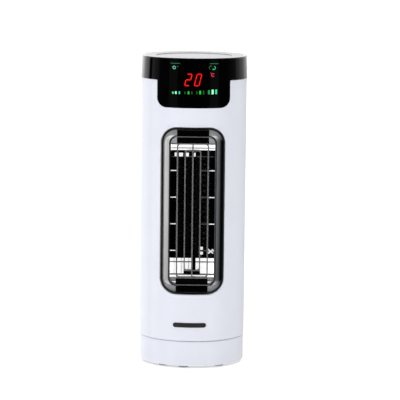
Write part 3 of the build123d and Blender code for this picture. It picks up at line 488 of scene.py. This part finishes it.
# Slot: name, colour, roughness, drift of colour and of roughness, grain scale, depth and strength, then
# specular level and coat where they aren't the usual ones.
PLASTICS = {
    "shell_white": ("white_shell", (0.70, 0.715, 0.78), 0.34, 0.01, 0.04, 1500, 0.02, 0.15, 0.45, 0.25),
    "plastic_grey": ("moulded_grey", (0.16, 0.165, 0.175), 0.5, 0.05, 0.07, 1000, 0.04, 0.35),
    "plastic_natural": ("natural_nylon", (0.66, 0.62, 0.53), 0.42, 0.05, 0.06, 900, 0.03, 0.3),
    "plastic_dark": ("moulded_black", (0.012, 0.012, 0.013), 0.45, 0.12, 0.08, 1000, 0.04, 0.35),
    "rubber_black": ("soft_rubber", (0.018, 0.018, 0.019), 0.75, 0.2, 0.08, 700, 0.08, 0.5, 0.3),
    "fin_aluminium": ("sooty_fins", (0.004, 0.004, 0.004), 0.7, 0.3, 0.05, 900, 0.05, 0.3, 0.04),
    "ceramic_pale": ("bare_ceramic", (0.78, 0.77, 0.74), 0.7, 0.05, 0.08, 2200, 0.06, 0.6, 0.3),
    "plate_grey": ("badge_dark", (0.02, 0.02, 0.022), 0.3, 0.06, 0.06, 1500, 0.02, 0.2),
    "mesh_grey": ("filter_frame", (0.035, 0.036, 0.04), 0.5, 0.08, 0.08, 1200, 0.04, 0.35),
    "key_grey": ("key_soft_touch", (0.42, 0.43, 0.46), 0.55, 0.04, 0.06, 1600, 0.03, 0.35, 0.35),
}
LOOKS = {slot_name: plastic(*values) for slot_name, values in PLASTICS.items()}
LOOKS.update({
    "cap_white": cap("cap_white"),
    "gloss_black": gloss("smoked_gloss_black", (0.0006, 0.0006, 0.0007), 0.04, SMOKED_STOPS),
    "bezel_black": gloss("bezel_gloss_black", (0.0008, 0.0008, 0.0009), 0.08, BEZEL_STOPS),
    "grille_black": grille("grille_semi_gloss_painted_glints"),
    "duct_white": duct("duct_white"),
    "screw_steel": metal("zinc_plate", (0.62, 0.62, 0.60), 0.3, 1500.0, 0.2),
    "bearing_brass": metal("sintered_brass", (0.66, 0.46, 0.2), 0.4, 900.0, 0.4),
    "motor_steel": laminated("laminated_steel", (0.42, 0.42, 0.43)),
    "winding_red": windings("enamelled_wire", (0.50, 0.13, 0.04)),
    "board_green": circuit("solder_resist", (0.012, 0.085, 0.035)),
})
# The flank: plating with painted shade, a painted reflection tint and a painted glow.
FLANK = plating_with_painted_shade("bezel_plating_painted_shade", grey(0.53), (0.58, 0.62, 0.66), 0.10)
RIDGE = ridge_painted_glints("ridge_painted_glints")
FOOT = plastic("foot_rubber", (0.30, 0.30, 0.31), 0.7, 0.08, 0.06, 700, 0.08, 0.5, 0.3)
FLEECE = plastic("filter_fleece", (0.010, 0.010, 0.011), 0.95, 0.35, 0.04, 2500, 0.1, 0.8, 0.1)
LEAD = lead_white("lead_ceramic", 0.55)

RED = lit("lit_red", (1.0, 0.0, 0.0), 1.25)
RED_DIM = lit("lit_red_dim", (1.0, 0.03, 0.04), 0.75)
RED_FAINT = lit("lit_red_faint", (1.0, 0.04, 0.05), 0.22)
GREEN = lit("lit_green", (0.01, 0.62, 0.03), 0.9)
GREEN_DEEP = lit("lit_green_deep", (0.005, 0.36, 0.06), 0.8)
GREEN_DIM = lit("lit_green_dim", (0.01, 0.25, 0.02), 0.35)
MINT = lit("lit_mint", (0.02, 0.75, 0.30), 0.85)
MINT_DIM = lit("lit_mint_dim", (0.01, 0.30, 0.11), 0.3)
MINT_PALE = lit("lit_mint_pale", (0.18, 0.66, 0.38), 1.1)
PALE = lit("lit_pale", (0.42, 0.95, 0.60), 1.1)


def dress(node, material):
    """Put one material on a CAD node."""
    slots = NODES[node].data.materials
    slots.clear()
    slots.append(material)


for row in frame["record"]["subparts"]:
    dress(row["node"], LOOKS[row["material_slot"]])
for node_name, look in (
    ("heater_combs", comb("comb_sooty")), ("heater_leads", LEAD), ("heater_terminals", LEAD),
    ("feet", FOOT), ("tip_plunger", FOOT), ("glide_ring", LOOKS["plastic_dark"]),
):
    dress(node_name, look)


# ---------------------------------------------------------------- mesh helpers


def mesh_object(name, verts, faces, material, body, smooth=True):
    """A mesh piece that rides on a body."""
    data = bpy.data.meshes.new(name)
    data.from_pydata(verts, [], faces)
    data.validate()
    data.update()
    data.materials.append(material)
    if smooth:
        data.shade_smooth()
    obj = bpy.data.objects.new(name, data)
    bpy.context.scene.collection.objects.link(obj)
    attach(obj, body)
    return obj


def bevel(obj, width):
    """Small rounded edges, as every moulded part has."""
    mod = obj.modifiers.new("edge", "BEVEL")
    mod.width = width
    mod.segments = 2
    mod.limit_method = "ANGLE"
    mod.angle_limit = math.radians(40.0)
    mod.harden_normals = True


def face_front(obj):
    """Turn all the faces of a piece round where they look to the back on the whole."""
    bm = bmesh.new()
    bm.from_mesh(obj.data)
    if sum(f.normal.y * f.calc_area() for f in bm.faces) > 0:
        bmesh.ops.reverse_faces(bm, faces=bm.faces)
    bm.to_mesh(obj.data)
    bm.free()


def cylinder_y(x, radius):
    """Front of a cylinder round the upright axis."""
    return -math.sqrt(max(radius * radius - x * x, 0.0))


def collar_radius(z):
    """Outer radius of the collar or tongue at a height."""
    if z <= COLLAR_Z:
        return COLLAR_R
    return COLLAR_R + (COLLAR_TOP_R - COLLAR_R) * (z - COLLAR_Z) / (TOP_Z - COLLAR_Z)


# ---------------------------------------------------------------- outlet frame


def outline_ring(grow, corner_steps=16, straight_steps=26):
    """Points (x, z) round the ridge's outline grown by so much, counter-clockwise."""
    points = []
    corner = RIDGE_CORNER + grow
    inner_x = RIDGE_X - RIDGE_CORNER
    inner_z = RIDGE_Z - RIDGE_CORNER

    def on_corner(sx, sz, degrees):
        angle = math.radians(degrees)
        return (sx * inner_x + corner * math.cos(angle), sz * inner_z + corner * math.sin(angle))

    turns = ((1, 1, 0.0), (-1, 1, 90.0), (-1, -1, 180.0), (1, -1, 270.0))
    for index, (sx, sz, start) in enumerate(turns):
        for k in range(corner_steps + 1):
            points.append(on_corner(sx, sz, start + 90.0 * k / corner_steps))
        next_sx, next_sz, next_start = turns[(index + 1) % 4]
        ax, az = points[-1]
        bx, bz = on_corner(next_sx, next_sz, next_start)
        for k in range(1, straight_steps):
            t = k / straight_steps
            points.append((ax + (bx - ax) * t, az + (bz - az) * t))
    return points


def ring_mesh(name, rows, material):
    """Skin between outlines of the outlet.

    A row is (grow, origin, offset), in mm. The offset is how far the row stands proud of the white skin, for
    the origin "skin", or how far it lies behind the ridge, for the origin "ridge".
    """
    verts = []
    for grow, origin, offset in rows:
        for x, z in outline_ring(grow * MM):
            y = cylinder_y(x, SKIN_R + offset * MM) if origin == "skin" else RIDGE_Y + offset * MM
            verts.append((x, y, OUTLET_Z + z))
    count = len(verts) // len(rows)
    faces = []
    for row in range(len(rows) - 1):
        for k in range(count):
            a = row * count + k
            b = row * count + (k + 1) % count
            faces.append((a, b, b + count, a + count))
    piece = mesh_object(name, verts, faces, material, "tower")
    face_front(piece)
    return piece


def outlet_frame():
    """Rim, plated flank with a black painted shadow band along its inner edge, ridge and throat of the
    outlet, in place of the plain CAD frame.
    """
    rim = [(14.0, "skin", -3.0), (14.0, "skin", -0.1)]
    for k in range(10):
        angle = math.radians(63 - 7 * k)
        rim.append((11.7 + 2.6 * math.sin(angle), "skin", -0.95 + 2.6 * math.cos(angle)))
    rim += [
        (11.0, "skin", 1.62), (10.6, "skin", 1.45), (10.3, "skin", 1.0), (10.2, "skin", 0.0),
        (10.2, "ridge", 10.2),
    ]
    piece = ring_mesh("outlet_rim", rim, LOOKS["bezel_black"])
    flank = [(10.2, "ridge", 10.1)]
    for k in range(6):
        grow = 9.9 - 1.64 * k
        flank.append((grow, "ridge", grow))
    ring_mesh("outlet_flank", flank, FLANK)
    # Painted shadow: the flank's last rows next to the ridge are black gloss.
    shadow_band_rows = [(grow, "ridge", grow) for grow in (1.7, 1.2, 0.7)]
    ring_mesh("outlet_shadow_band", shadow_band_rows, LOOKS["bezel_black"])
    lip = [
        (0.72, "ridge", 0.72), (0.45, "ridge", 0.0), (0.15, "ridge", -0.45), (-0.3, "ridge", -0.55),
        (-0.7, "ridge", -0.35), (-0.95, "ridge", 0.1), (-1.0, "ridge", 0.9), (-1.0, "ridge", 2.5),
    ]
    ring_mesh("outlet_lip", lip, RIDGE)
    throat = [(-1.0, "ridge", 2.5), (-1.0, "ridge", 16.5)]
    ring_mesh("outlet_throat", throat, LOOKS["bezel_black"])
    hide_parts("outlet_bezel")


def bridge(name, side):
    """Black ramp between rim and ridge at the top (side 1) or bottom (side -1) of the outlet."""
    near = OUTLET_Z + side * (RIDGE_Z - 0.2 * MM)
    far = OUTLET_Z + side * (RIDGE_Z + 10.3 * MM)
    near_y = RIDGE_Y + 0.1 * MM
    far_y = RIDGE_Y - 2.8 * MM
    half = 24.0 * MM
    columns = 24
    rows = 6
    verts = []
    for r in range(rows + 1):
        t = r / rows
        for c in range(columns + 1):
            x = -half + 2 * half * c / columns
            y = max(near_y + (far_y - near_y) * t, cylinder_y(x, SKIN_R - 0.3 * MM))
            verts.append((x, y, near + (far - near) * t))
    for r in range(rows + 1):
        for x in (-half, half):
            verts.append((x, FLANK_Y + 1.0 * MM, near + (far - near) * r / rows))
    faces = []
    width = columns + 1
    for r in range(rows):
        for c in range(columns):
            a = r * width + c
            faces.append((a, a + 1, a + width + 1, a + width))
    base = (rows + 1) * width
    for r in range(rows):
        for c, edge in ((0, 0), (1, columns)):
            a = r * width + edge
            b = base + 2 * r + c
            faces.append((a, b, b + 2, a + width))
    mesh_object(name, verts, faces, LOOKS["bezel_black"], "tower", smooth=False)


def surround():
    """Soft raised lip of the white skin round the outlet."""
    rows = [(14.2, "skin", -1.4), (14.25, "skin", 0.0)]
    for k in range(9):
        t = k / 8
        lift = 0.4 * math.sin(math.pi * (0.1 + 0.9 * t)) ** 1.5
        rows.append((14.35 + 4.0 * t, "skin", lift + 0.02))
    rows.append((18.6, "skin", -0.1))
    ring_mesh("outlet_surround", rows, LOOKS["shell_white"])


outlet_frame()
bridge("outlet_bridge_top", 1)
bridge("outlet_bridge_bottom", -1)
surround()


# ---------------------------------------------------------------- display

LINES_Z = TOP_Z - 7.8 * MM
ICONS_Z = TOP_Z - 14.0 * MM
UNIT_Z = TOP_Z - 24.7 * MM
DIGITS_Z = TOP_Z - 40.3 * MM
BARS_Z = TOP_Z - 53.1 * MM


def on_collar(x, z):
    """A point of the display, just proud of the smoked face."""
    return (x, cylinder_y(x, collar_radius(z) + 0.07 * MM), z)


def ribbon(path, width):
    """Point pairs, left and right, along a stroke, close enough together to follow the round face."""
    dense = []
    for (x0, z0), (x1, z1) in zip(path, path[1:]):
        steps = max(1, int(math.hypot(x1 - x0, z1 - z0) / (1.2 * MM)))
        for k in range(steps):
            t = k / steps
            dense.append((x0 + (x1 - x0) * t, z0 + (z1 - z0) * t))
    dense.append(path[-1])
    pairs = []
    for k, (x, z) in enumerate(dense):
        x0, z0 = dense[max(k - 1, 0)]
        x1, z1 = dense[min(k + 1, len(dense) - 1)]
        length = math.hypot(x1 - x0, z1 - z0) or 1.0
        nx, nz = -(z1 - z0) / length * width / 2, (x1 - x0) / length * width / 2
        pairs.append(((x + nx, z + nz), (x - nx, z - nz)))
    return pairs


def add_strip(verts, faces, pairs):
    """Add quads between the points, left and right, of a stroke."""
    start = len(verts)
    for pair in pairs:
        verts.extend(pair)
    for k in range(len(pairs) - 1):
        a = start + 2 * k
        faces.append((a, a + 1, a + 3, a + 2))


def strokes(name, base, lines, width, material):
    """Lit strokes as one thin piece. Their points are in mm: across from the middle, and above a base."""
    verts = []
    faces = []
    for line in lines:
        pairs = ribbon([(x * MM, base + z * MM) for x, z in line], width * MM)
        add_strip(verts, faces, [(on_collar(*left), on_collar(*right)) for left, right in pairs])
    mesh_object(name, verts, faces, material, "tower")


def arc(cx, cz, radius, start, end, steps=18):
    """Points along an arc."""
    angles = [math.radians(start + (end - start) * k / steps) for k in range(steps + 1)]
    return [(cx + radius * math.cos(angle), cz + radius * math.sin(angle)) for angle in angles]


def digit(name, left, segments):
    """Slanted seven segment figure."""
    width = 7.0
    middle = 8.5
    top = 2 * middle
    gap = 0.55
    lean = 0.235
    shapes = {
        "a": [(gap, top), (width - gap, top)],
        "b": [(width, top - gap), (width, middle + gap)],
        "c": [(width, middle - gap), (width, gap)],
        "d": [(gap, 0.0), (width - gap, 0.0)],
        "e": [(0.0, middle - gap), (0.0, gap)],
        "f": [(0.0, top - gap), (0.0, middle + gap)],
        "g": [(gap, middle), (width - gap, middle)],
    }
    lines = [[(left + x + lean * z, z) for x, z in shapes[segment]] for segment in segments]
    strokes(name, DIGITS_Z, lines, 1.35, RED)


def heat_icon(cx):
    """Small sun with eight rays and a mark beside it."""
    rays = []
    for k in range(8):
        angle = math.radians(45 * k)
        rays.append([(cx + r * math.cos(angle), r * math.sin(angle)) for r in (2.5, 3.0)])
    strokes("display_heat_icon", ICONS_Z, [arc(cx, 0.0, 2.0, 0, 360)], 0.7, MINT_PALE)
    strokes("display_heat_rays", ICONS_Z, rays, 0.4, MINT_DIM)
    strokes("display_heat_mark", ICONS_Z, [arc(cx + 5.3, 1.6, 0.7, 0, 360)], 0.5, MINT_DIM)


def swing_icon():
    """Two bent arrows that follow each other round."""
    bright = [arc(29.4, 0.0, 2.6, -100, 70), [(27.6, -2.0), (29.4, -2.7), (29.4, -0.9)]]
    dim = [arc(25.4, 0.4, 2.6, 80, 250), [(26.9, 2.5), (25.4, 3.2), (25.4, 1.6)]]
    strokes("display_swing_icon", ICONS_Z, bright, 0.75, MINT)
    strokes("display_swing_icon_b", ICONS_Z, dim, 0.7, MINT_DIM)


def level_bars():
    """Row of short bars, in groups, growing to the right."""
    bars = (
        (-30.7, 2.6, 3.2, MINT), (-26.3, 2.4, 3.6, PALE), (-21.1, 2.0, 3.9, MINT),
        (-12.8, 1.4, 3.6, GREEN_DIM), (-7.5, 2.4, 4.2, GREEN), (-2.5, 1.6, 4.2, GREEN_DIM),
        (4.9, 1.4, 4.6, GREEN_DIM), (9.8, 2.5, 5.2, GREEN), (14.9, 1.8, 5.4, GREEN_DIM),
        (22.8, 2.8, 6.2, GREEN_DEEP), (28.3, 3.0, 6.8, PALE), (33.5, 2.8, 7.0, MINT),
    )
    for number, (x, width, height, material) in enumerate(bars, 1):
        strokes(f"display_bar_{number:02d}", BARS_Z, [[(x, 0.0), (x, height)]], width, material)


digit("display_digit_left", -13.4, "abged")
digit("display_digit_right", 1.0, "abcdef")
strokes("display_unit_ring", UNIT_Z, [arc(25.6, 2.9, 0.7, 0, 360)], 0.45, RED_FAINT)
strokes("display_unit", UNIT_Z, [arc(28.5, 0.0, 2.1, 35, 325)], 1.0, RED_DIM)
heat_icon(-29.2)
swing_icon()
strokes("display_line_left", LINES_Z, [[(-34.6, 0.0), (-20.4, 0.0)]], 0.9, MINT_DIM)
strokes("display_line_right", LINES_Z, [[(23.6, 0.0), (36.4, 0.0)]], 0.9, MINT_DIM)
level_bars()


# ---------------------------------------------------------------- other fine pieces


def key_marks():
    """Plain marks on the keys: power, dots, minus, plus and swing."""
    marks = {
        "power": [arc(0, 0, 1.9, 120, 420, 16), [(0, 0.6), (0, 2.5)]],
        "mode": [arc(0, 0, 1.8, 0, 360, 16), arc(0, 0, 0.5, 0, 360, 10)],
        "minus": [[(-1.8, 0), (1.8, 0)]],
        "plus": [[(-1.8, 0), (1.8, 0)], [(0, -1.8), (0, 1.8)]],
        "swing": [
            arc(0, 0.6, 2.0, 200, 340, 14),
            [(-2.4, 0.6), (-1.9, -0.2), (-1.1, 0.3)],
            [(2.4, 0.6), (1.9, -0.2), (1.1, 0.3)],
        ],
    }
    for key, lines in marks.items():
        low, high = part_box(f"key_{key}")
        cx, cy = (low[0] + high[0]) / 2, (low[1] + high[1]) / 2
        z = high[2] + 0.05 * MM
        verts = []
        faces = []
        for line in lines:
            pairs = ribbon([(x * MM, y * MM) for x, y in line], 0.45 * MM)
            add_strip(verts, faces, [[(cx + x, cy + y, z) for x, y in pair] for pair in pairs])
        mesh_object(f"key_{key}_mark", verts, faces, LOOKS["plastic_dark"], f"button_{key}")


def filter_screen():
    """Woven screen in the dust filter's frame, with a dark fleece against it."""
    low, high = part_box("filter_mesh")
    y = (low[1] + high[1]) / 2
    half = 0.16 * MM
    edge = 2.5 * MM
    pitch = 1.7 * MM
    verts = []
    faces = []

    def wire(x0, x1, z0, z1):
        start = len(verts)
        for x, z in ((x0, z0), (x1, z0), (x1, z1), (x0, z1)):
            verts.append((x, y - half, z))
            verts.append((x, y + half, z))
        for a, b in ((0, 1), (1, 2), (2, 3), (3, 0)):
            faces.append((start + 2 * a, start + 2 * b, start + 2 * b + 1, start + 2 * a + 1))
        faces.append(tuple(start + k for k in (0, 2, 4, 6)))
        faces.append(tuple(start + k for k in (7, 5, 3, 1)))

    x = low[0] + edge
    while x < high[0] - edge:
        wire(x - half, x + half, low[2] + edge, high[2] - edge)
        x += pitch
    z = low[2] + edge
    while z < high[2] - edge:
        wire(low[0] + edge, high[0] - edge, z - half, z + half)
        z += pitch
    mesh_object("filter_screen", verts, faces, LOOKS["mesh_grey"], "filter", smooth=False)
    inset = 2.0 * MM
    x0, x1, z0, z1 = low[0] + inset, high[0] - inset, low[2] + inset, high[2] - inset
    sheet = []
    for x, z in ((x0, z0), (x1, z0), (x1, z1), (x0, z1)):
        sheet.append((x, y - 0.55 * MM, z))
        sheet.append((x, y - 0.25 * MM, z))
    sides = [(0, 2, 3, 1), (2, 4, 5, 3), (4, 6, 7, 5), (6, 0, 1, 7), (0, 6, 4, 2), (1, 3, 5, 7)]
    mesh_object("filter_fleece", sheet, sides, FLEECE, "filter", smooth=False)


key_marks()
filter_screen()

# Widths, in mm, of the rounded edges.
for node_name, width in (
    ("front_shell", 0.35), ("rear_shell", 0.35), ("top_collar", 0.3), ("outlet_grille", 0.8),
    ("base_shell", 0.25), ("top_cap", 0.3), ("air_duct", 0.3), ("filter_cover", 0.3),
    ("rocker_housing", 0.3), ("nameplate", 0.2), ("handle_cup", 0.5), ("cord_gland", 0.4),
    ("heater_terminals", 0.2), ("heater_combs", 0.3),
):
    bevel(NODES[node_name], width * MM)


# ---------------------------------------------------------------- studio

FLOOR_HALF = 6.0

# Brightness of the room by turn from the front (0) to the back (1), with bright strips between dark flags.
LEFT_STOPS = (
    (0.0, 0.0), (0.19, 0.0), (0.20, 0.8), (0.30, 0.8), (0.31, 0.05), (0.43, 0.05), (0.46, 1.0),
    (0.56, 1.0), (0.58, 0.03), (0.622, 0.02), (0.632, 1.3), (1.0, 1.3),
)
RIGHT_STOPS = (
    (0.0, 0.0), (0.19, 0.0), (0.20, 0.8), (0.30, 0.8), (0.31, 0.03), (0.43, 0.03), (0.45, 0.28),
    (0.55, 0.28), (0.568, 0.3), (0.58, 0.8), (0.70, 0.65), (0.85, 0.55), (1.0, 0.75),
)
AHEAD = 0.19
CEILING = 1.0
CEILING_GLOSS = 0.8
ROOM_POWER = 1.0
DIFFUSE_LESS = -0.5
BACKGROUND = 1.05

# Place, height aimed at, size, power and colour of the soft lights.
SOFTBOXES = {
    "front_fill": ((-0.9, -3.2, 1.0), 0.22, (2.4, 1.8), 22.0, (0.97, 0.98, 1.0)),
    "low_fill": ((-0.5, -1.6, 0.12), 0.10, (1.6, 0.2), 3.6, (0.99, 0.99, 1.0)),
    "key_left": ((-2.4, -1.2, 1.2), 0.22, (1.4, 1.8), 3.5, (0.90, 0.95, 1.0)),
    "key_right": ((2.4, -1.2, 1.2), 0.22, (1.4, 1.8), 5.0, (1.0, 1.0, 1.0)),
}

CAMERA_PLACE = (0.0256, -3.6607, 0.7168)
CAMERA_LENS = 217.9
CAMERA_TILT = 0.128
CAMERA_PAN = -0.004
CAMERA_ROLL = 0.0109


def studio_floor():
    """Large plain pale floor with a faint gloss."""
    s = Shader("pale_floor")
    tone = s.span(s.noise(3.0, 3.0, 0.5), 0.0, 1.0)
    s.feed("Base Color", s.blend(tone, (0.93, 0.93, 0.935), (0.95, 0.95, 0.955)))
    s.feed("Roughness", s.span(s.noise(8.0, 3.0), 0.16, 0.22))
    s.put("Specular IOR Level", 0.5)
    s.put("Emission Color", (1.0, 1.0, 1.0, 1.0))
    s.put("Emission Strength", 0.45)
    data = bpy.data.meshes.new("floor")
    corners = [(x * FLOOR_HALF, y * FLOOR_HALF, 0.0) for x, y in ((-1, -1), (1, -1), (1, 1), (-1, 1))]
    data.from_pydata(corners, [], [(0, 1, 2, 3)])
    data.materials.append(s.mat)
    floor = bpy.data.objects.new("floor", data)
    bpy.context.scene.collection.objects.link(floor)
    floor.visible_glossy = False


def studio_world():
    """White for the eye; for light and gloss a soft room, bright at the sides, dark behind the camera."""
    world = bpy.data.worlds.new("studio")
    bpy.context.scene.world = world
    world.use_nodes = True
    tree = world.node_tree
    tree.nodes.clear()

    def add(kind, **settings):
        made = tree.nodes.new(kind)
        for key, value in settings.items():
            setattr(made, key, value)
        return made

    def calc(operation, a, b=0.0):
        n = add("ShaderNodeMath", operation=operation)
        for socket, value in zip(n.inputs, (a, b)):
            if isinstance(value, (int, float)):
                socket.default_value = value
            else:
                tree.links.new(value, socket)
        return n.outputs[0]

    def ramp(value, stops):
        n = add("ShaderNodeValToRGB")
        tree.links.new(value, n.inputs["Fac"])
        fill_ramp(n.color_ramp, stops)
        return n.outputs["Color"]

    def mix(fac, a, b):
        n = add("ShaderNodeMix", data_type="RGBA")
        tree.links.new(fac, n.inputs["Factor"])
        tree.links.new(a, n.inputs[6])
        tree.links.new(b, n.inputs[7])
        return n.outputs[2]

    split = add("ShaderNodeSeparateXYZ")
    tree.links.new(add("ShaderNodeTexCoord").outputs["Generated"], split.inputs[0])
    dx, dy, dz = split.outputs
    # Turn round the upright axis: 0 straight ahead at the front, 0.5 at the sides and 1 at the back.
    turn = calc("DIVIDE", calc("ARCTAN2", calc("ABSOLUTE", dx), calc("MULTIPLY", dy, -1.0)), math.pi)
    walls = mix(calc("GREATER_THAN", dx, 0.0), ramp(turn, LEFT_STOPS), ramp(turn, RIGHT_STOPS))
    # The walls give way to the ceiling, higher up ahead than at the sides.
    ahead = calc("LESS_THAN", turn, AHEAD)
    high = add("ShaderNodeMapRange")
    tree.links.new(calc("ADD", calc("MULTIPLY", ahead, 0.35), 0.35), high.inputs["From Min"])
    tree.links.new(calc("ADD", calc("MULTIPLY", ahead, 0.25), 0.62), high.inputs["From Max"])
    tree.links.new(calc("ABSOLUTE", dz), high.inputs["Value"])
    path = add("ShaderNodeLightPath")
    ceiling = add("ShaderNodeVectorMath", operation="SCALE")
    ceiling.inputs[0].default_value = (1.0, 1.0, 1.0)
    gloss_part = calc("MULTIPLY", path.outputs["Is Glossy Ray"], CEILING_GLOSS)
    tree.links.new(calc("ADD", gloss_part, CEILING), ceiling.inputs["Scale"])
    room = add("ShaderNodeBackground")
    tree.links.new(mix(high.outputs["Result"], walls, ceiling.outputs[0]), room.inputs["Color"])
    softer = calc("MULTIPLY", path.outputs["Is Diffuse Ray"], DIFFUSE_LESS)
    tree.links.new(calc("ADD", softer, ROOM_POWER), room.inputs["Strength"])
    white = add("ShaderNodeBackground")
    white.inputs["Color"].default_value = (1.0, 1.0, 1.0, 1.0)
    white.inputs["Strength"].default_value = BACKGROUND
    pick = add("ShaderNodeMixShader")
    tree.links.new(path.outputs["Is Camera Ray"], pick.inputs["Fac"])
    tree.links.new(room.outputs[0], pick.inputs[1])
    tree.links.new(white.outputs[0], pick.inputs[2])
    tree.links.new(pick.outputs[0], add("ShaderNodeOutputWorld").inputs["Surface"])


def softbox(name, place, target_z, size, power, color):
    """A large soft area light, aimed at a height on the upright axis."""
    data = bpy.data.lights.new(name, "AREA")
    data.shape = "RECTANGLE"
    data.size, data.size_y = size
    data.energy = power
    data.color = color
    lamp = bpy.data.objects.new(name, data)
    lamp.location = place
    aim = Vector((0.0, 0.0, target_z)) - Vector(place)
    lamp.rotation_euler = aim.to_track_quat("-Z", "Y").to_euler()
    lamp.visible_glossy = False
    lamp.visible_camera = False
    bpy.context.scene.collection.objects.link(lamp)


def overhead():
    """Even light from straight above, so that the floor stays white far away too."""
    data = bpy.data.lights.new("overhead", "SUN")
    data.energy = 2.0
    data.angle = math.radians(60)
    lamp = bpy.data.objects.new("overhead", data)
    lamp.visible_glossy = False
    bpy.context.scene.collection.objects.link(lamp)


def camera():
    """Long lens a little above the heater, tilted down to it."""
    data = bpy.data.cameras.new("camera")
    data.sensor_width = 36.0
    data.lens = CAMERA_LENS
    data.clip_end = 50.0
    cam = bpy.data.objects.new("camera", data)
    bpy.context.scene.collection.objects.link(cam)
    level = math.cos(CAMERA_TILT)
    forward = Vector((math.sin(CAMERA_PAN) * level, math.cos(CAMERA_PAN) * level, -math.sin(CAMERA_TILT)))
    side = Vector((math.cos(CAMERA_PAN), -math.sin(CAMERA_PAN), 0.0))
    up = side.cross(forward)
    side_r = side * math.cos(CAMERA_ROLL) + up * math.sin(CAMERA_ROLL)
    up_r = up * math.cos(CAMERA_ROLL) - side * math.sin(CAMERA_ROLL)
    turn = Matrix((side_r, up_r, -forward)).transposed().to_4x4()
    cam.matrix_world = Matrix.Translation(CAMERA_PLACE) @ turn
    bpy.context.scene.camera = cam


studio_floor()
studio_world()
for light_name, settings in SOFTBOXES.items():
    softbox(light_name, *settings)
overhead()
camera()
view = bpy.context.scene.view_settings
view.view_transform = "Standard"
view.look = "None"
view.exposure = 0.0
view.gamma = 1.0
